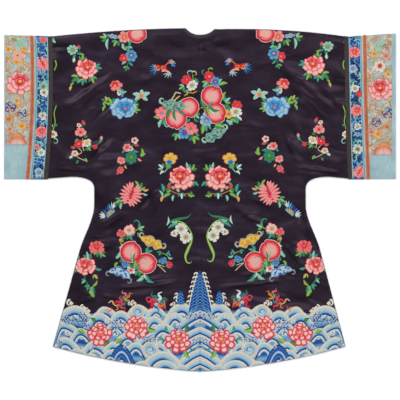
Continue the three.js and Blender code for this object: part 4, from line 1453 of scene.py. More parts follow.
lowerPeaches = [
    (curl, 64.4, 222.6, 4, 200, 0.6, 1.1, ("green", "jade"), -1),
    (stem, [(61, 224), (62, 229), (66, 230)], "lime", 0.7),
    (sprig, 61, 228, 160, 6, ("pale", "lime", "teal")), (leaf, 62, 232, 240, 5.5, "teal"),
    (sprig, 71, 234, 240, 7, ("teal", "green", "teal")),
    (stem, [(77, 238), (79, 242), (77, 247)], "gold", 0.8), (leaf, 81, 248, 130, 6, "white", 0.2),
    (sprig, 78.6, 237.8, 240, 5, ("lime", "gold", "green")), (blossom, 78.4, 233.4, 4.8, ("red", "pink")),
    (rosette, 70.6, 230, 6.4, 8, "red", ("rose", "shell", "cream"), "red", 0.5, 0.95, 0, 3, 0.0),
    (rosette, 70.6, 230, 5, 8, "pink", ("olive", "shell", "cream"), "cream", 0.64, 0.95, 20, 4, 0.0),
    (disc, 70.6, 230, 1.4, [(0, "sand"), (0.6, "olive"), (1, "rose")], 0.95),
    (leaf, 84, 258, 120, 7, "pale"), (leaf, 80, 262, 110, 5, "green"), (leaf, 82, 262, 300, 6, "lime"),
    (stem, [(43, 264), (38, 268), (34, 272)], "sand", 0.7),
    (stem, [(43, 264), (39, 265), (35, 266.5)], "sand", 0.6),
    (stem, [(38, 252.5), (33, 255), (30, 259)], "lime", 0.6), (leaf, 41, 255, 100, 5, "teal", 0.3),
    (curl, 40, 253.6, 3.2, 20, 0.6, 0.8, ("green", "jade")), (leaf, 34, 254, 130, 5, "jade"),
    (leaf, 32, 257, 190, 5, "pale"), (leaf, 30, 256, 60, 4, "blue"),
    (blossom, 37, 260.6, 4.2, ("deep", "sky"), "ice"),
    (blossom, 30.4, 264.4, 3.8, ("red", "rose"), "pink"), (leaf, 33, 263, 250, 5, "teal"),
    (sprig, 54, 251.5, 170, 7, ("teal", "pale", "jade")), (leaf, 56, 274, 320, 10, "pale", 0.24, -0.2),
    (leaf, 54, 274, 225, 12, "teal", 0.2, 0.2), (leaf, 55, 273, 255, 6, "white", 0.2),
    (bat, 48.4, 242.4, 26, 27, ("gold", "yellow", "oatLine"), 0.5, 1, 0.02),
    (bat, 80.4, 274.6, 18, 25, ("blue", "ice", "slate"), 0.5, -1, -0.1), (peach, 69.2, 251.8, 10.8, 110),
    (peach, 53.8, 263, 10.4, 168), (leaf, 67.6, 262, 80, 10, "pale", 0.22, 0.1, 1.3),
    (leaf, 66, 262, 100, 10, "green", 0.14, -0.14, 1.35),
    (stem, [(64, 263), (60.5, 259), (56.5, 257.4), (52.6, 259.4)], "green", 0.75, 1.25),
    (stem, [(63.5, 264), (59, 262.4), (54.6, 264.6), (55, 267.6), (58.5, 268.4), (62, 266.8)], "mint", 0.6,
     1.25),
    (sprig, 66, 268, 100, 8, ("lime", "teal", "green"), 50, 0.95),
    (sprig, 62, 270, 250, 7, ("green", "teal", "lime"), 40, 0.95),
    (blossom, 74.6, 263.4, 4.6, ("deep", "sky"), "orange"),
    (blossom, 69, 269.8, 4.6, ("red", "white"), "rose", 6),
]
sidePeonies = [
    (leaf, 121, 259, 60, 6, "teal"), (sprig, 99, 253, 215, 6, ("lime", "teal", "green")),
    (leaf, 108, 256, 300, 6, "green"), (sprig, 112, 257.5, 80, 6.5, ("pale", "jade", "teal")),
    (leaf, 104, 268, 190, 6, "teal"), (leaf, 122, 270, 330, 6, "teal"),
    (sprig, 105, 274, 240, 5.5, ("gold", "lime")),
    (stem, [(115.5, 275), (114, 281), (110, 286), (108, 289)], "jade", 0.6),
    (sprig, 114.5, 280, 320, 5, ("pale", "teal")), (leaf, 107, 286, 262, 11, "lime", 0.34),
    (leaf, 107, 287, 262, 6, "blue", 0.24, 0.12, 0.6), (leaf, 107.5, 286, 130, 8, "lime", 0.22),
    (sprig, 111, 285, 290, 5.5, ("teal", "jade")),
    (peony, 103.3, 247.8, 8.2, ("red", "pink", "pink"), "orange", 0, 0.5, (-0.5, -1)),
    (sprig, 103, 252, 265, 5, ("green", "lime", "teal"), 50, 0.9),
    (peony, 114, 266, 10.6, ("red", "pink", "petal"), "yellow", 30, 0.5, (1, -1)),
]
tiedThings = [
    (ribbonKnot, 79.4, 303.4, 8.5, ("red", "rose", "teal", "rose", "orange"), 20),
    (ribbonKnot, 74, 296.4, 7.5, ("orange", "gold", "teal", "pink"), 150),
    (stem, [(82, 306), (86, 304), (88, 300.5), (91.5, 302.5)], "sand", 0.9),
    (curl, 72.5, 297, 4, 300, 0.7, 0.9, ("rust", "orange")),
    (ribbonKnot, 91, 310.4, 5, ("orange", "rose", "orange"), 20),
    (curl, 50.5, 299.6, 3.6, 10, 0.65, 0.9, ("red", "rose")),
    (ribbonKnot, 43, 301.5, 11.5, ("rose", "teal", "white", "teal", "orange", "blue", "red"), 10),
    (ribbonKnot, 38.5, 304.5, 7, ("blue", "orange", "red", "sand"), 50),
]
besideSeamLeft = [
    (curl, 10.5, 73.6, 3.4, 150, 0.7, 1, ("jade", "mint"), -1),
    (curl, 5.5, 74, 3.2, 30, 0.7, 1, ("jade", "paleLime")),
    (stem, [(7.5, 74), (7, 79), (8, 84)], "lime", 0.6),
    (sprig, 16, 86.5, 330, 6, ("lime", "pale", "teal")), (sprig, 12, 90, 280, 5.5, ("lime", "teal")),
    (leaf, 5.5, 78, 210, 4.5, "teal"), (leaf, 5, 81, 190, 4.5, "jade"),
    (stem, [(16, 96), (11, 92.5), (7, 93), (3, 91)], "gold", 0.9),
    (blossom, 13, 79.6, 6, ("red", "rose"), "pink"), (daisy, 8.2, 85.4, 6.2, ("sage", "white"), "gold"),
    (stem, [(29, 100), (26, 96), (24, 92.5), (19, 93.5)], "sand", 1),
    (stem, [(26, 101), (23, 98), (20, 96)], "yellow", 0.9), (leaf, 41, 119, 20, 6, "lime"),
    (leaf, 38, 120, 290, 8, "pale", 0.3), (leaf, 36, 119, 250, 8, "teal"),
    (curl, 33.5, 124, 3.4, 200, 0.6, 0.8, ("teal", "ice")),
    (rosette, 38.6, 113.4, 6.6, 6, "rose", ("rose", "shell", "pink"), None, 0.5, 1, 0, 4, 0.3),
    (disc, 37.6, 113, 1.8, [(0, "blue"), (0.6, "sky"), (1, "sky")], 0.9), (leaf, 36, 110, 160, 5, "teal"),
    (peach, 11.2, 107, 10.2, 252), (peach, 24, 118, 10.8, 262),
    (leaf, 29, 109, 290, 10, "green", 0.26, 0.1, 1.3),
    (leaf, 25.5, 109, 262, 12, "green", 0.18, 0.12, 1.3), (leaf, 22, 109, 215, 10, "dark", 0.2, 0.1, 1.3),
    (bat, 26, 105, 8, 28, ("teal", "sage", "mint"), 1.2, 1, -0.02),
    (stem, [(3.5, 108), (1.6, 110), (0.6, 108)], "gold", 0.9),
    (sprig, 4.5, 114, 230, 6, ("pale", "lime", "teal")), (leaf, 6, 119, 210, 5, "green"),
    (sprig, 22.5, 134, 290, 7, ("lime", "teal", "pale")),
    (sprig, 6, 136, 265, 8, ("lime", "green", "lime")), (leaf, 4, 132, 230, 5, "teal"),
    (sprig, 12, 122, 60, 5, ("teal", "jade")),
    (rosette, 9.2, 128.4, 7.4, 7, "rose", ("red", "shell", "pink"), None, 0.5, 0.95, 20, 3, 0.45),
    (disc, 10, 129, 1.6, [(0, "teal"), (0.6, "jade"), (1, "teal")], 0.95),
    (daisy, 15.4, 132.4, 6.6, ("deep", "sky"), "red"),
]
besideSeamRight = [
    (curl, 10, 70.6, 3, 20, 0.7, 1, ("green", "lime"), 1),
    (curl, 4.5, 73, 3.2, 100, 0.6, 0.9, ("teal", "jade"), 1),
    (sprig, 7, 82, 230, 6.5, ("pale", "teal", "lime")), (leaf, 4, 84, 270, 6, "jade"),
    (leaf, 10, 84, 270, 5, "lime"), (leaf, 19, 85.5, 15, 9, "lime", 0.26),
    (sprig, 17, 88, 290, 6, ("pale", "teal")), (leaf, 19, 83, 50, 5, "pale"),
    (blossom, 9.4, 76.6, 6.4, ("red", "rose"), "shell"),
    (daisy, 15.4, 81.8, 5.8, ("deep", "sky"), "orange"), (leaf, 23.5, 100, 75, 9, "lime", 0.22),
    (sprig, 25, 102, 40, 7, ("pale", "teal", "lime")), (leaf, 24, 105, 330, 7, "green"),
    (stem, [(22, 104), (26, 107), (29, 112)], "jade", 0.7),
    (blossom, 37.2, 105.2, 5.4, ("red", "rose"), "orange"),
    (blossom, 28.8, 114, 5.2, ("orange", "yellow"), "blue"), (leaf, 31, 107.5, 200, 5, "jade"),
    (daisy, 35.8, 111.6, 6.6, ("sage", "white"), "gold"),
    (sprig, 31, 119, 330, 7, ("lime", "green", "pale")), (leaf, 26, 120, 310, 7, "pale"),
    (sprig, 37, 117, 275, 7, ("teal", "white", "jade")),
    (stem, [(0.5, 108), (3, 107.6), (5, 110.5)], "gold", 0.9),
    (rosette, 7, 119.6, 7.2, 8, "deep", ("blue", "sky", "ice"), None, 0.5, 1, 0, 3),
    (disc, 6.6, 120.6, 1.9, [(0, "orange"), (0.6, "peach"), (1, "orange")], 0.9),
    (sprig, 3.4, 124, 262, 10, ("lime", "jade"), 30), (leaf, 7, 125, 310, 6, "teal"),
    (sprig, 15, 124.6, 345, 10, ("lime", "jade", "green"), 26), (peach, 11.8, 96, 10.8, 48),
    (peach, 15.4, 112.8, 10.8, 318), (leaf, 7, 111, 118, 14, "green", 0.14, 0.06, 1.3),
    (leaf, 8, 110, 62, 10, "teal", 0.2, 0.06, 1.3), (leaf, 6, 106, 150, 5, "teal", 0.3, 0, 1.3),
    (leaf, 9, 106, 338, 12, "green", 0.2, -0.2, 1.3), (leaf, 7, 108, 285, 8, "lime", 0.24, 0, 1.3),
    (leaf, 9, 109, 310, 9, "white", 0.16, 0, 1.3),
    (bat, 16, 135.4, 32, 27, ("teal", "sage", "mint"), 0.5, 1, 0.04),
]
# each group, and how much further out and down it lies on the right
bothSides = [
    (shoulderSpray, (2.5, -0.6)), (twinFlower, (5, -2)), (bellFlower, (-0.8, -2)), (bluePeony, (0, -1.3)),
    (sleeveSpray, (0.4, -3.4)), (braidSide, (-0.6, 0)), (plumSprig, (-0.4, -2.8)), (podSpray, (0.4, -1.6)),
    (innerPeony, (0, 0)), (chrysanthemumSpray, (0.3, -1.3)), (orchid, (-0.8, -1.6)),
    (lowerPeaches, (1.0, -1.6)), (sidePeonies, (1.0, -0.8)), (tiedThings, (-1.6, -2)),
    ([(butterflyFlower, 58.5, 95, 9.4)], (0.8, -1.3)), ([(phoenix, 39.4, 67.8)], (0.8, -1.4)),
]


def bodyMotifs(half):
    work = newWork(half)
    right = half["sign"] > 0
    for rows, shift in bothSides:
        stitchRows(work, rows, shift if right else (0, 0))
    stitchRows(work, besideSeamRight if right else besideSeamLeft)
    return work


# standing water and mountains along the hem
waterBands = [  # from an arch's crest inwards
    (0, "cream"), (-0.08, "cream"), (-0.1, "oatLine"), (-0.12, "cream"), (-0.21, "cream"), (-0.23, "oatLine"),
    (-0.26, "ice"), (-0.36, "ice"), (-0.48, "paleBlue"), (-0.56, "sky"), (-0.58, "deep"), (-0.7, "deep"),
    (-0.72, "cream"), (-0.8, "cream"), (-0.83, "ice"), (-0.92, "paleBlue"), (-1, "deep"),
]
deepBands = [
    (0, "deep"), (-0.02, "deep"), (-0.12, "deep"), (-0.14, "sky"), (-0.16, "deep"), (-0.32, "blue"),
    (-0.35, "ice"), (-0.39, "cream"), (-0.43, "blue"), (-0.56, "deep"), (-0.59, "sky"), (-0.62, "deep"),
    (-0.74, "deep"), (-0.77, "cream"), (-0.88, "cream"), (-0.92, "blue"), (-1, "deep"),
]
# crest's place, reach towards the centre and outwards, drop of its ends, and depth of its bands
arches = [
    (18, 301.4, 15, 17, 14, 9.5), (44, 306.4, 10, 9, 6, 8), (62, 303.4, 13, 11, 9, 8),
    (96, 305.6, 14, 9, 8, 8), (125, 304.4, 16, 16, 9, 9), (25, 311, 11, 10, 9, 8),
    (101, 311, 16, 13, 11, 9), (57, 314.6, 14, 10, 9, 8), (138, 320.5, 20, 8, 12, 7),
    (84, 320, 12, 11, 8, 7), (37, 321.4, 16, 15, 12, 9), (120, 327, 14, 10, 9, 7), (72, 331, 12, 12, 8, 7),
    (51, 333, 10, 12, 9, 7), (136, 335.6, 15, 10, 10, 8), (33, 332.5, 9, 8, 7, 6),
    (106, 339.4, 18, 14, 15, 8.5), (64, 340.6, 11, 11, 9, 7), (124, 347, 14, 9, 9, 7),
    (90, 348, 10, 9, 9, 7), (37, 349.4, 18, 20, 12, 9), (110, 352, 12, 12, 9, 7),
    (35, 358.4, 16, 15, 10, 8), (58, 360, 12, 12, 8, 7), (18, 363, 12, 12, 8, 7), (46, 314.6, 11, 9, 8, 8),
    (79, 309.6, 12, 12, 9, 8), (41, 341.4, 10, 9, 7, 7), (87, 340.6, 10, 9, 7, 7),
]
seamArches = [
    (308.4, 25, 15, 10), (325.4, 20, 11, 8.5), (334.4, 20, 12, 8), (347, 22, 13, 9), (357, 20, 11, 8),
]
whirls = [(62, 311.5, 7), (49.5, 349.4, 8.5), (78.5, 357, 13.5)]
waterFlowers = [(100.5, 334.4, 12.2, 10), (64.4, 327.8, 12.4, 40), (22.4, 341, 13, 5)]
waterLeaves = [
    (104, 322, 40, 6, "green"), (115, 333, 20, 7, "lime"), (90, 341, 320, 7, "green"),
    (77, 339, 330, 7, "lime"), (53, 328, 190, 8, "lime"), (35, 331, 100, 5, "teal"),
    (14, 331, 90, 7, "green"), (15, 350, 240, 8, "lime"), (36, 340, 20, 5, "jade"),
    (10, 347, 220, 4, "teal"),
]
foam = [
    (130, 302, 4.6, 1), (117, 306.4, 3.6, 1), (112.4, 309.4, 3.2, 1), (66.5, 301.8, 3.2, 1),
    (70, 303, 2.8, 1), (132, 332.6, 4, 1), (141, 319.5, 4, 1), (27, 303, 2.8, -1), (50, 309.8, 3, -1),
    (93, 321, 3.2, 1), (74, 346, 3.4, 1), (119, 349, 3.4, -1), (46, 345, 3, -1), (26, 316, 3, -1),
    (84, 333, 3.4, -1), (16, 356, 3, 1), (53, 356, 3, 1), (108, 348, 3, 1), (100, 357, 3.2, -1),
    (30, 352.5, 3, 1),
]
dotFields = [  # centre, reach out, reach down, silk
    (2, 315.5, 13, 4, "white"), (132, 318.5, 8, 4.5, "white"), (117, 317.5, 6, 6, "white"),
    (82, 323.5, 9, 5, "white"), (50, 338, 9, 3.4, "white"), (1, 340.5, 8, 4.5, "white"),
    (112, 326, 5, 3.4, "ice"), (22, 329, 5, 2.6, "white"), (140, 343, 4, 3.4, "ice"),
]


def leafTable(work, rows):
    for u, v, angle, length, tone in rows:
        leaf(work, u, v, angle, 1.15 * length, tone, 0.36, lift=1.25)


def seaGround(work):
    # Blue stitching below the arches, from a little under their crests to the hem
    columns, rows = 74, 17
    u = np.linspace(0, 150, columns)
    high = np.interp(u, [0, 8, 40, 90, 110, 134, 150], [311, 309, 310, 314, 313, 308, 305.5])
    t = np.linspace(0, 1, rows)[:, None]
    v = high + t * (374 - high)
    squares = np.stack([np.broadcast_to(u, v.shape).ravel(), v.ravel()], 1)
    plan = toPlan(work, squares)
    sway = 0.5 + 0.5 * np.sin(squares[:, 1] / 1.9 + 2.2 * np.sin(squares[:, 0] / 9))
    tones = np.array([silks["deep"], silks["blue"], silks["paleBlue"]])
    silk = tones[0] * (1 - sway)[:, None] + np.where(sway[:, None] > 0.6, tones[2], tones[1]) * sway[:, None]
    top = np.column_stack([plan, np.full(len(plan), 0.3)])
    under = np.column_stack([plan, np.full(len(plan), sunk)])
    # rows run down the robe here, so the faces point inwards until they are turned over
    faces = [tuple(reversed(f)) for f in shellFaces(columns, rows)]
    addShape(work, np.vstack([top, under]), np.vstack([silk, silk]), np.vstack([plan, plan]), faces)


def hillEdge(v, apex, foot, reach, full=0.75):  # half a mountain's width at a height
    return reach * np.clip((v - apex) / (foot - apex), 0, 1) ** full


def mountain(work, u, apex, foot, reach, lift, whole, curls, full=0.75):
    # Deep blue rock with pale chevrons, one above the other, and foam up its outer side
    line = [(-1, "blue"), (-0.5, "sky"), (-0.2, "paleBlue"), (0.2, "sky"), (0.5, "sky"), (1, "blue")]
    for way in (1, -1) if whole else (1,):
        heights = np.linspace(apex, foot, 7)
        rock = bothWays(*((k / 5, "deep") for k in range(5)), (0.86, "blue"), (0.94, "blue"), (1, "sky"))
        band(work, [(u + way * 0.45 * hillEdge(v, apex, foot, reach, full), v) for v in heights],
             lambda t: 0.56 * reach * np.clip(t, 0.02, 1) ** full + 0.3, rock, lift, 0.1, 18)
        v = apex + (4.2 if full > 0.6 else 2.2)
        while v < foot - 1:
            out = hillEdge(v + 3, apex, foot, reach, full) - 0.3
            drop = min(0.85 * out + 0.6, foot - v)
            stairs = ((0, 0), (0.3, 0.28), (0.5, 0.62), (0.78, 0.72), (1, 1))
            crest = [(u + way * out * share, v + drop * fall) for share, fall in stairs]
            band(work, crest, 0.5, line if way > 0 else line[::-1], lift + 0.25, 0.1, 14)
            v += 3
    for v, r in curls:
        end = u + hillEdge(v, apex, foot, reach, full)
        rise = [(end + 0.9, v + 3.2), (end + 1.1, v + 1.4), (end + 1, v - 0.4)]
        stem(work, rise, "cream", 0.8, lift + 0.45)
        curl(work, end + 1.2 + 0.6 * r, v - 0.2, 1.1 * r, 165, 0.6, 0.56 * r, ("cream", "white"), -1,
             lift + 0.55)


def archOf(work, u, v, inwards, outwards, drop, depth, lift, bands=waterBands):
    # A wave: one arc of silk inside another, about the same foot
    path = [(u - inwards * 1.25, v + drop * 1.5), (u - 0.66 * inwards, v + 0.42 * drop), (u, v),
            (u + 0.66 * outwards, v + 0.42 * drop), (u + outwards * 1.25, v + drop * 1.5)]
    crest = smoothPath(toPlan(work, path), max(14, round((inwards + outwards) / 1.1)))
    foot = toPlan(work, (u + 0.3 * (outwards - inwards), v + drop * 1.7))[0]
    spread = min(0.92, 0.95 * depth / drop)
    along = np.linspace(0, (inwards + outwards) * drawing["step"], len(crest))
    points, silk, stitches = [], [], []
    for k, (place, colour) in enumerate(bands):
        high = np.full(len(crest), sunk if k in (0, len(bands) - 1) else lift)
        points.append(np.column_stack([foot + (crest - foot) * (1 + place * spread), high]))
        silk.append(shade(colour, np.zeros(len(crest))))
        stitches.append(np.column_stack([along, np.full(len(crest), place * depth * drawing["step"])]))
    closeStrip(work, points[::-1], silk[::-1], stitches[::-1], True)


def whirl(work, u, v, r, lift):
    if r > 10:  # a dark wave, deep in the water
        archOf(work, u, v - r, 0.85 * r, 0.85 * r, r, r, lift, deepBands)
        return
    bands = [(0, "cream"), (0.28, "sky"), (0.34, "blue"), (0.42, "sky"), (0.5, "ice"), (0.62, "paleBlue"),
             (0.68, "oatLine"), (0.74, "cream"), (0.84, "oatLine"), (0.88, "cream"), (0.97, "cream"),
             (1, "cream")]
    disc(work, u, v, r, bands, lift, 0.1, 36)
    curl(work, u, v, 0.42 * r, 200, 1.2, 0.13 * r, ("cream", "white"), 1, lift + 0.12)


def seaWork(half):
    work = newWork(half)
    seaGround(work)
    spray = [(v, 2.2) for v in (274.6, 278.6, 283, 287.6, 292.4, 297.4, 302.6)]
    mountain(work, 0, 270.4, 312, 11.6, 0.35, False, spray)
    mountain(work, 19.4, 290.6, 304, 3.8, 0.35, True, [(294.6, 1.8), (298.6, 2.1)], 0.4)
    lift = 0.36
    order = [("arch", row[1] + 0.3 * row[5], row) for row in arches]
    order += [("seam", row[0] + 2, row) for row in seamArches]
    order += [("whirl", row[1] - 0.4 * row[2], row) for row in whirls]
    for kind, _, row in sorted(order, key=lambda item: item[1]):
        if kind == "arch":
            archOf(work, *row, lift)
        elif kind == "seam":
            v, outwards, drop, depth = row
            path = [(-1.5, v - 0.6), (0, v), (0.5 * outwards, v + 0.4 * drop), (outwards, v + drop)]
            band(work, path, 1.25 * depth, waterBands, lift, 0.08, 18)
        else:
            whirl(work, *row, lift)
        lift += 0.022
    for u, v, r, handed in foam:
        rise = [(u + ahead * handed, v + down) for ahead, down in ((-2.6, 2.2), (-1.2, 0.6), (0.2, -0.2))]
        stem(work, rise, "cream", 0.42 * r, lift)
        curl(work, u, v + 0.2 * r, 0.8 * r, 100, 0.7, 0.3 * r, ("cream", "white"), -handed, lift + 0.1)
    leafTable(work, waterLeaves)
    for u, v, r, turn in waterFlowers:
        peony(work, u, v, r, ("rose", "pink", "petal"), "yellow", turn, 1.35, (-1.2, -2.6), True, 0.95)
    dots = random.Random(5)
    for u, v, out, down, tone in dotFields:
        for row in range(-4, 5):
            for column in range(-6, 7):
                du = 2.9 * column + 1.45 * (row % 2) + dots.uniform(-0.4, 0.4)
                dv = 2.2 * row + dots.uniform(-0.3, 0.3)
                if (du / out) ** 2 + (dv / down) ** 2 < 1:
                    angle = dots.uniform(0, 360)
                    curl(work, u + du, v + dv, 1.4, angle, 0.8, 0.6, ("deep", "blue"), 1, lift, steps=6)
                    knot(work, u + du, v + dv, lift + 0.15, tone, 2.6)
    return work


def scrollField(work, left, right, upper, lower, spacing, tones, seed, r, width, lift=0.4, bare=()):
    # Curls strewn over a strip, in silks drawn by chance, that keep clear of bare circles
    dice = random.Random(seed)
    for row in range(int((lower - upper) / (spacing * 0.87)) + 1):
        v = upper + row * spacing * 0.87
        for u in np.arange(left + (0.5 * spacing if row % 2 else 0), right, spacing):
            cu, cv = u + dice.uniform(-0.3, 0.3) * spacing, v + dice.uniform(-0.3, 0.3) * spacing
            tone = dice.choice(tones)
            angle, handed = dice.uniform(0, 360), dice.choice((1, -1))
            size, turns = r * dice.uniform(0.8, 1.25), dice.uniform(0.5, 1.0)
            if all(math.hypot(cu - bu, cv - bv) > br for bu, bv, br in bare):
                curl(work, cu, cv, size, angle, turns, width, tone, handed, lift, steps=7)


def lotus(work, u, v, r, lift=0.6):
    # A rounded bud of striped petals over its foot, with orange ones behind
    foot = v + 0.72 * r
    behind, across = edged("rust", ("orange", "yellow")), edged("red", ("pink", "cream", "shell"))
    petals(work, u, v, 5, 0.1 * r, 0.85 * r, 0.2 * r, behind, 38, 130, lift - 0.1)
    for side in (1, -1):
        for k in range(5, -1, -1):
            angle = 90 + side * (5 + 11 * k)
            path = [(u, foot), towards(u, foot, angle, 0.6 * r, 0.34 * r * side * (k + 1) / 6),
                    towards(u, foot, angle, (1.25 - 0.02 * k) * r)]
            band(work, path, sized(petalShape, 0.13 * r), across, lift + 0.03 * (5 - k), 0.15, 7)


def cloudScroll(work, u, v, r, turn=0):
    # A dark blue cluster of scrolls with a pale one over it
    for k in range(5):
        angle = turn + 72 * k
        curl(work, *towards(u, v, angle, 0.55 * r), 0.42 * r, angle + 150, 1, 0.2 * r, ("navy", "deep"),
             1 if k % 2 else -1, 0.45)
    top = towards(u, v, turn + 60, 0.5 * r)
    curl(work, *top, 0.85 * r, turn + 150, 0.5, 0.15 * r, ("teal", "ice"), -1, 0.6)


panelFlowers = {
    "left": {"peony": (181, 84, 13.2), "rows": [
        (leaf, 189, 38, 200, 9, "olive", 0.26), (daisy, 180, 43.5, 6.4, ("sage", "mint"), "sand"),
        (blossom, 182, 55.4, 6.6, ("sand", "shell"), "rose", 6), (leaf, 178, 58, 250, 8, "gold", 0.3),
        (blossom, 183, 62.5, 3.4, ("orange", "yellow")), (blossom, 175.5, 49, 3, ("orange", "yellow")),
        (blossom, 191.5, 49.5, 3.4, ("orange", "yellow"), "rust"), (cloudScroll, 189.5, 107, 6.6, 20),
        (cloudScroll, 177.5, 113.5, 5.4, 200), (blossom, 191, 119, 3.6, ("rust", "peach"), "orange"),
        (blossom, 178, 126, 4, ("orange", "yellow")),
        (blossom, 190, 129, 3.6, ("orange", "shell"), "rust"), (blossom, 183, 101, 3.4, ("orange", "yellow")),
        (lotus, 182.5, 139.4, 8.6),
    ]},
    "right": {"peony": (181, 90.4, 13.2), "rows": [
        (leaf, 187, 44, 200, 9, "olive", 0.26), (daisy, 179.5, 66, 6.4, ("rust", "white"), "red"),
        (blossom, 174, 54, 3.4, ("orange", "yellow")), (blossom, 186, 56, 3.6, ("rust", "shell")),
        (blossom, 188, 74, 3.4, ("orange", "yellow")), (cloudScroll, 187.5, 113, 6.6, 20),
        (cloudScroll, 176, 122, 5.4, 200), (blossom, 187, 127, 3.8, ("rust", "peach"), "orange"),
        (blossom, 178, 134, 4, ("orange", "yellow")),
        (blossom, 171, 132, 3.6, ("rust", "shell")), (lotus, 183.5, 148.6, 9),
        (daisy, 178, 45.5, 5.4, ("sage", "mint"), "sand"),
    ]},
}


def panelWork(half):
    work = newWork(half)
    flowers = panelFlowers[half["name"]]
    u, v, r = flowers["peony"]
    bare = [(u, v, r * 0.85)]
    seed = 11 if half["sign"] < 0 else 12
    tones = ("orange", "peach", "sand", "gold", "orange", "cream", "sage", "gold", "orange", "gold", "ice")
    scrollField(work, 166, 197, 33, 158, 3.0, tones, seed, 2.4, 0.85, 0.35, bare)
    peony(work, u, v, r, ("red", "pink", "petal"), "yellow", 20, 0.6, (-1.5, -2.6))
    stitchRows(work, flowers["rows"])
    return work


ribbonFlowers = {
    "left": [
        (chrysanthemum, 156.6, 64.2, 7.4, 60), (daisy, 156.4, 86.5, 5, ("jade", "mint"), "red"),
        (daisy, 155.6, 92.5, 5, ("sage", "white"), "red"),
        (blossom, 157, 115.5, 5, ("sage", "cream"), "red", 3), (peony, 158, 131.7, 6.6),
        (blossom, 163, 147, 3.4, ("red", "shell")), (daisy, 158.6, 152.4, 4.6),
        (daisy, 160.6, 172, 4.8, ("blue", "ice")), (blossom, 157, 40, 4, ("rose", "pink")),
        (leaf, 153, 76, 230, 5, "teal"), (leaf, 160, 104, 40, 6, "pale"), (leaf, 155, 141, 250, 6, "teal"),
    ],
    "right": [
        (peony, 154, 52.4, 6.6), (daisy, 152.6, 68.5, 4.8, ("blue", "ice")), (daisy, 154.6, 88.6, 4.6),
        (blossom, 159.4, 94.2, 3.8, ("red", "rose")), (peony, 156.6, 110.6, 6.6),
        (blossom, 157, 127, 4, ("sage", "cream")),
        (daisy, 157.4, 149, 5.4, ("jade", "cream"), "red"), (chrysanthemum, 158.8, 172, 6.6, 60),
        (leaf, 152, 79, 260, 5, "teal"), (leaf, 159, 101, 60, 5, "pale"), (leaf, 155, 138, 250, 6, "teal"),
    ],
}


def downSleeve(half, out):  # squares along a line across the sleeve, measured out as the trims are
    y = np.linspace(half["sleeveTopY"], cut["sleeveLowY"], 8)
    return np.stack([lineX(half, out, y), drawing["top"] - y], 1) / drawing["step"]


def ribbonWork(half):
    work = newWork(half)
    seed = 21 if half["sign"] < 0 else 22
    tones = ("mint", "paleBlue", "sky", "ink", "ink", "sky", "mint", "paleBlue", "mint", "teal")
    scrollField(work, 149, 168, 34, 190, 3.8, tones, seed, 2.8, 0.95, 0.35)
    start, end = trims["flower_ribbon"]
    for out in (start + 2.4, end - 2.4):
        edge = [(-1, "mint"), (-0.5, "ice"), (0.5, "mint"), (1, "teal")]
        band(work, downSleeve(half, out), 0.5, edge, 0.45, 0.1, 60)
    stitchRows(work, ribbonFlowers[half["name"]])
    return work


def clip(shape, coordinate, limit, keepBelow):
    # Cuts the work off where x or y passes a limit that depends on the other, and closes what it cuts
    other = 1 - coordinate
    values = np.array([vertex.co[other] for vertex in shape.verts])
    limits = limit(values)
    for vertex, offset in zip(shape.verts, limits):
        vertex.co[coordinate] -= offset
    normal = [0, 0, 0]
    normal[coordinate] = 1 if keepBelow else -1
    geometry = shape.verts[:] + shape.edges[:] + shape.faces[:]
    result = bmesh.ops.bisect_plane(shape, geom=geometry, dist=1e-5, plane_co=(0, 0, 0), plane_no=normal,
                                    clear_outer=True)
    edges = [item for item in result["geom_cut"] if isinstance(item, bmesh.types.BMEdge)]
    bmesh.ops.holes_fill(shape, edges=[edge for edge in edges if len(edge.link_faces) == 1], sides=0)
    values = np.array([vertex.co[other] for vertex in shape.verts])
    limits = limit(values)
    for vertex, offset in zip(shape.verts, limits):
        vertex.co[coordinate] += offset


def layWork(name, work, limits, base=0.0):
    # Cuts flat work off at its limits and lays it on the cloth. base lifts it onto a ribbon or panel.
    half = work["half"]
    points = np.vstack(work["points"])
    mesh = bpy.data.meshes.new(name)
    mesh.from_pydata(points.tolist(), [], work["faces"])
    silk = mesh.attributes.new("silk", "FLOAT_COLOR", "POINT")
    colours = np.column_stack([np.vstack(work["silk"]), np.ones(len(points))])
    silk.data.foreach_set("color", colours.ravel())
    stitches = np.vstack(work["stitches"]) * mm
    way = mesh.uv_layers.new(name="stitches")
    corners = np.empty(len(mesh.loops), int)
    mesh.loops.foreach_get("vertex_index", corners)
    way.data.foreach_set("uv", stitches[corners].ravel())
    shape = bmesh.new()
    shape.from_mesh(mesh)
    for coordinate, limit, keepBelow in limits:
        clip(shape, coordinate, limit, keepBelow)
    for face in shape.faces:
        face.smooth = True
    if half["sign"] < 0:
        bmesh.ops.reverse_faces(shape, faces=shape.faces)
    openEdges = countOpenEdges(shape)
    shape.to_mesh(mesh)
    shape.free()
    flat = np.empty(len(mesh.vertices) * 3)
    mesh.vertices.foreach_get("co", flat)
    flat = flat.reshape(-1, 3)
    flat[:, 0] *= half["sign"]
    flat[:, 2] += clothTop(flat[:, :2]) + base
    mesh.vertices.foreach_set("co", (flat * mm).ravel())
    mesh.set_sharp_from_angle(angle=math.radians(60))
    mesh.materials.append(silkThread)
    mesh.update()
    piece = addObject(name, mesh)
    triangles = sum(len(p.vertices) - 2 for p in mesh.polygons)
    print(name, triangles, "triangles,", openEdges, "open edges")
    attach(piece, "root")
    return piece


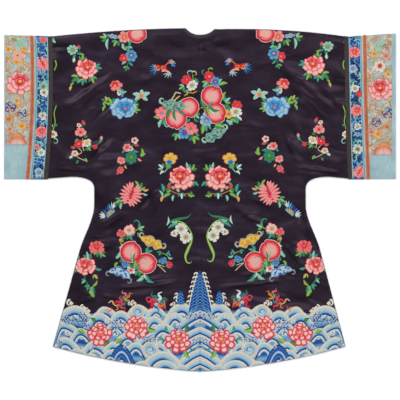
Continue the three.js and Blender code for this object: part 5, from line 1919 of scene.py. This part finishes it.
def knotTree():
    # Sets a small domed knot on each point; the points carry its silk and size
    tree = bpy.data.node_groups.new("sewnKnots", "GeometryNodeTree")
    tree.interface.new_socket("Geometry", in_out="INPUT", socket_type="NodeSocketGeometry")
    for label, kind in (("Knot height", "NodeSocketFloat"), ("Thread", "NodeSocketMaterial")):
        tree.interface.new_socket(label, in_out="INPUT", socket_type=kind)
    tree.interface.new_socket("Geometry", in_out="OUTPUT", socket_type="NodeSocketGeometry")
    nodes, links = tree.nodes, tree.links
    start, end = nodes.new("NodeGroupInput"), nodes.new("NodeGroupOutput")
    knotShape = nodes.new("GeometryNodeMeshIcoSphere")
    knotShape.inputs["Subdivisions"].default_value = 1
    knotShape.inputs["Radius"].default_value = 1
    size = nodes.new("GeometryNodeInputNamedAttribute")
    size.data_type = "FLOAT"
    size.inputs["Name"].default_value = "size"
    tall = nodes.new("ShaderNodeCombineXYZ")
    links.new(size.outputs["Attribute"], tall.inputs["X"])
    links.new(size.outputs["Attribute"], tall.inputs["Y"])
    links.new(start.outputs["Knot height"], tall.inputs["Z"])
    place = nodes.new("GeometryNodeInstanceOnPoints")
    links.new(start.outputs["Geometry"], place.inputs["Points"])
    links.new(knotShape.outputs["Mesh"], place.inputs["Instance"])
    links.new(tall.outputs["Vector"], place.inputs["Scale"])
    real = nodes.new("GeometryNodeRealizeInstances")
    links.new(place.outputs["Instances"], real.inputs["Geometry"])
    paint = nodes.new("GeometryNodeSetMaterial")
    links.new(real.outputs["Geometry"], paint.inputs["Geometry"])
    links.new(start.outputs["Thread"], paint.inputs["Material"])
    links.new(paint.outputs["Geometry"], end.inputs["Geometry"])
    return tree


knotNodes = knotTree()


def sewKnots(name, works, inside, base=0.0, height=0.5):
    # One piece of all the knots of some works that lie where inside says
    points, silk, sizes = [], [], []
    for work in works:
        for x, y, lift, tone, r in work["knots"]:
            if inside(work["half"], x, y):
                spot = np.array([[x * work["half"]["sign"], y]])
                points.append((*spot[0], clothTop(spot)[0] + base + lift))
                silk.append((*silks[tone], 1))
                sizes.append(r * mm)
    mesh = bpy.data.meshes.new(name)
    mesh.from_pydata((np.array(points) * mm).tolist(), [], [])
    mesh.attributes.new("silk", "FLOAT_COLOR", "POINT").data.foreach_set("color", np.array(silk).ravel())
    mesh.attributes.new("size", "FLOAT", "POINT").data.foreach_set("value", np.array(sizes))
    piece = addObject(name, mesh)
    sewing = piece.modifiers.new("knots", "NODES")
    sewing.node_group = knotNodes
    values = {"Knot height": height * mm, "Thread": silkThread}
    for item in knotNodes.interface.items_tree:
        if item.in_out == "INPUT" and item.name in values:
            sewing[item.identifier] = values[item.name]
    bpy.context.view_layer.update()
    evaluated = piece.evaluated_get(bpy.context.evaluated_depsgraph_get())
    made = bpy.data.meshes.new_from_object(evaluated)
    piece.modifiers.clear()
    piece.data = made
    for face in made.polygons:
        face.use_smooth = True
    print(name, len(points), "knots")
    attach(piece, "root")
    return piece


margin = 1.2  # mm between the stitching and a seam or edge


def bodyLimits(half):
    return [
        (1, lambda x: topY(half, x) - margin, True), (1, lambda x: hemY(half, x) + margin, False),
        (0, lambda y: np.full_like(y, 0.35), False), (0, lambda y: sideLimit(half, y) - margin, True),
    ]


def sleeveLimits(half, start, end, endX=None):
    outer = (lambda y: np.full_like(y, endX)) if endX else (lambda y: lineX(half, end, y))
    return [
        (0, lambda y: lineX(half, start, y), False), (0, outer, True),
        (1, lambda x: topY(half, x) - 0.8, True), (1, lambda x: underY(half, x) + 0.8, False),
    ]


def onBody(half, x, y):
    here = np.array([x]), np.array([y])
    return (1.5 < x < sideLimit(half, here[1])[0] - 2.5 and hemY(half, here[0])[0] + 2.5 < y
            < topY(half, here[0])[0] - 2.5)


def ribbonDots(half):
    # A pink line down the middle of the narrow ribbon, with a row of knots in three silks by turns
    work = newWork(half)
    middle = sum(trims["gold_ribbon"]) / 2
    rows = np.arange(half["sleeveTopY"] - 4, cut["sleeveLowY"] + 4, -3.6)
    for k, y in enumerate(rows):
        x = lineX(half, middle, np.array([y]))[0]
        work["knots"].append((x, y, 0.35, ("olive", "rose", "jade", "rose")[k % 4], 2.1))
    across = bothWays((0.6, "shell"), (1, "rust"))
    band(work, downSleeve(half, middle), 0.6, across, 0.25, 0.05, 60)
    return work


def embroider(half):  # one side's stitched pieces, by what they are sewn on
    name, raised = half["name"], cloth["trimLift"]
    limits = bodyLimits(half)
    flowers, sea = bodyMotifs(half), seaWork(half)
    made = {"body": [
        layWork("flowers_and_fruit_" + name, flowers, limits),
        layWork("water_and_mountains_" + name, sea, limits),
        sewKnots("knots_" + name, [flowers, sea], onBody),
    ]}
    endX, endY = half["panelEnd"]
    limits = sleeveLimits(half, sleeve["panelStart"] + 1, 0, endX - 1)
    limits.append((1, lambda x: np.full_like(x, endY + 1), False))
    made["panel"] = [layWork("panel_stitches_" + name, panelWork(half), limits, raised)]
    dotted = ribbonDots(half)
    start, end = trims["gold_ribbon"]
    limits = sleeveLimits(half, start + 1, end - 1)
    made["gold_ribbon"] = [
        layWork("ribbon_line_" + name, dotted, limits, raised),
        sewKnots("ribbon_knots_" + name, [dotted], lambda *place: True, raised, 0.35),
    ]
    start, end = trims["flower_ribbon"]
    limits = sleeveLimits(half, start + margin, end - margin)
    woven = ribbonWork(half)
    made["flower_ribbon"] = [layWork("ribbon_flowers_" + name, woven, limits, raised)]
    return made


stitched = {name: embroider(half) for name, half in halves.items()}
print("embroidery ready")
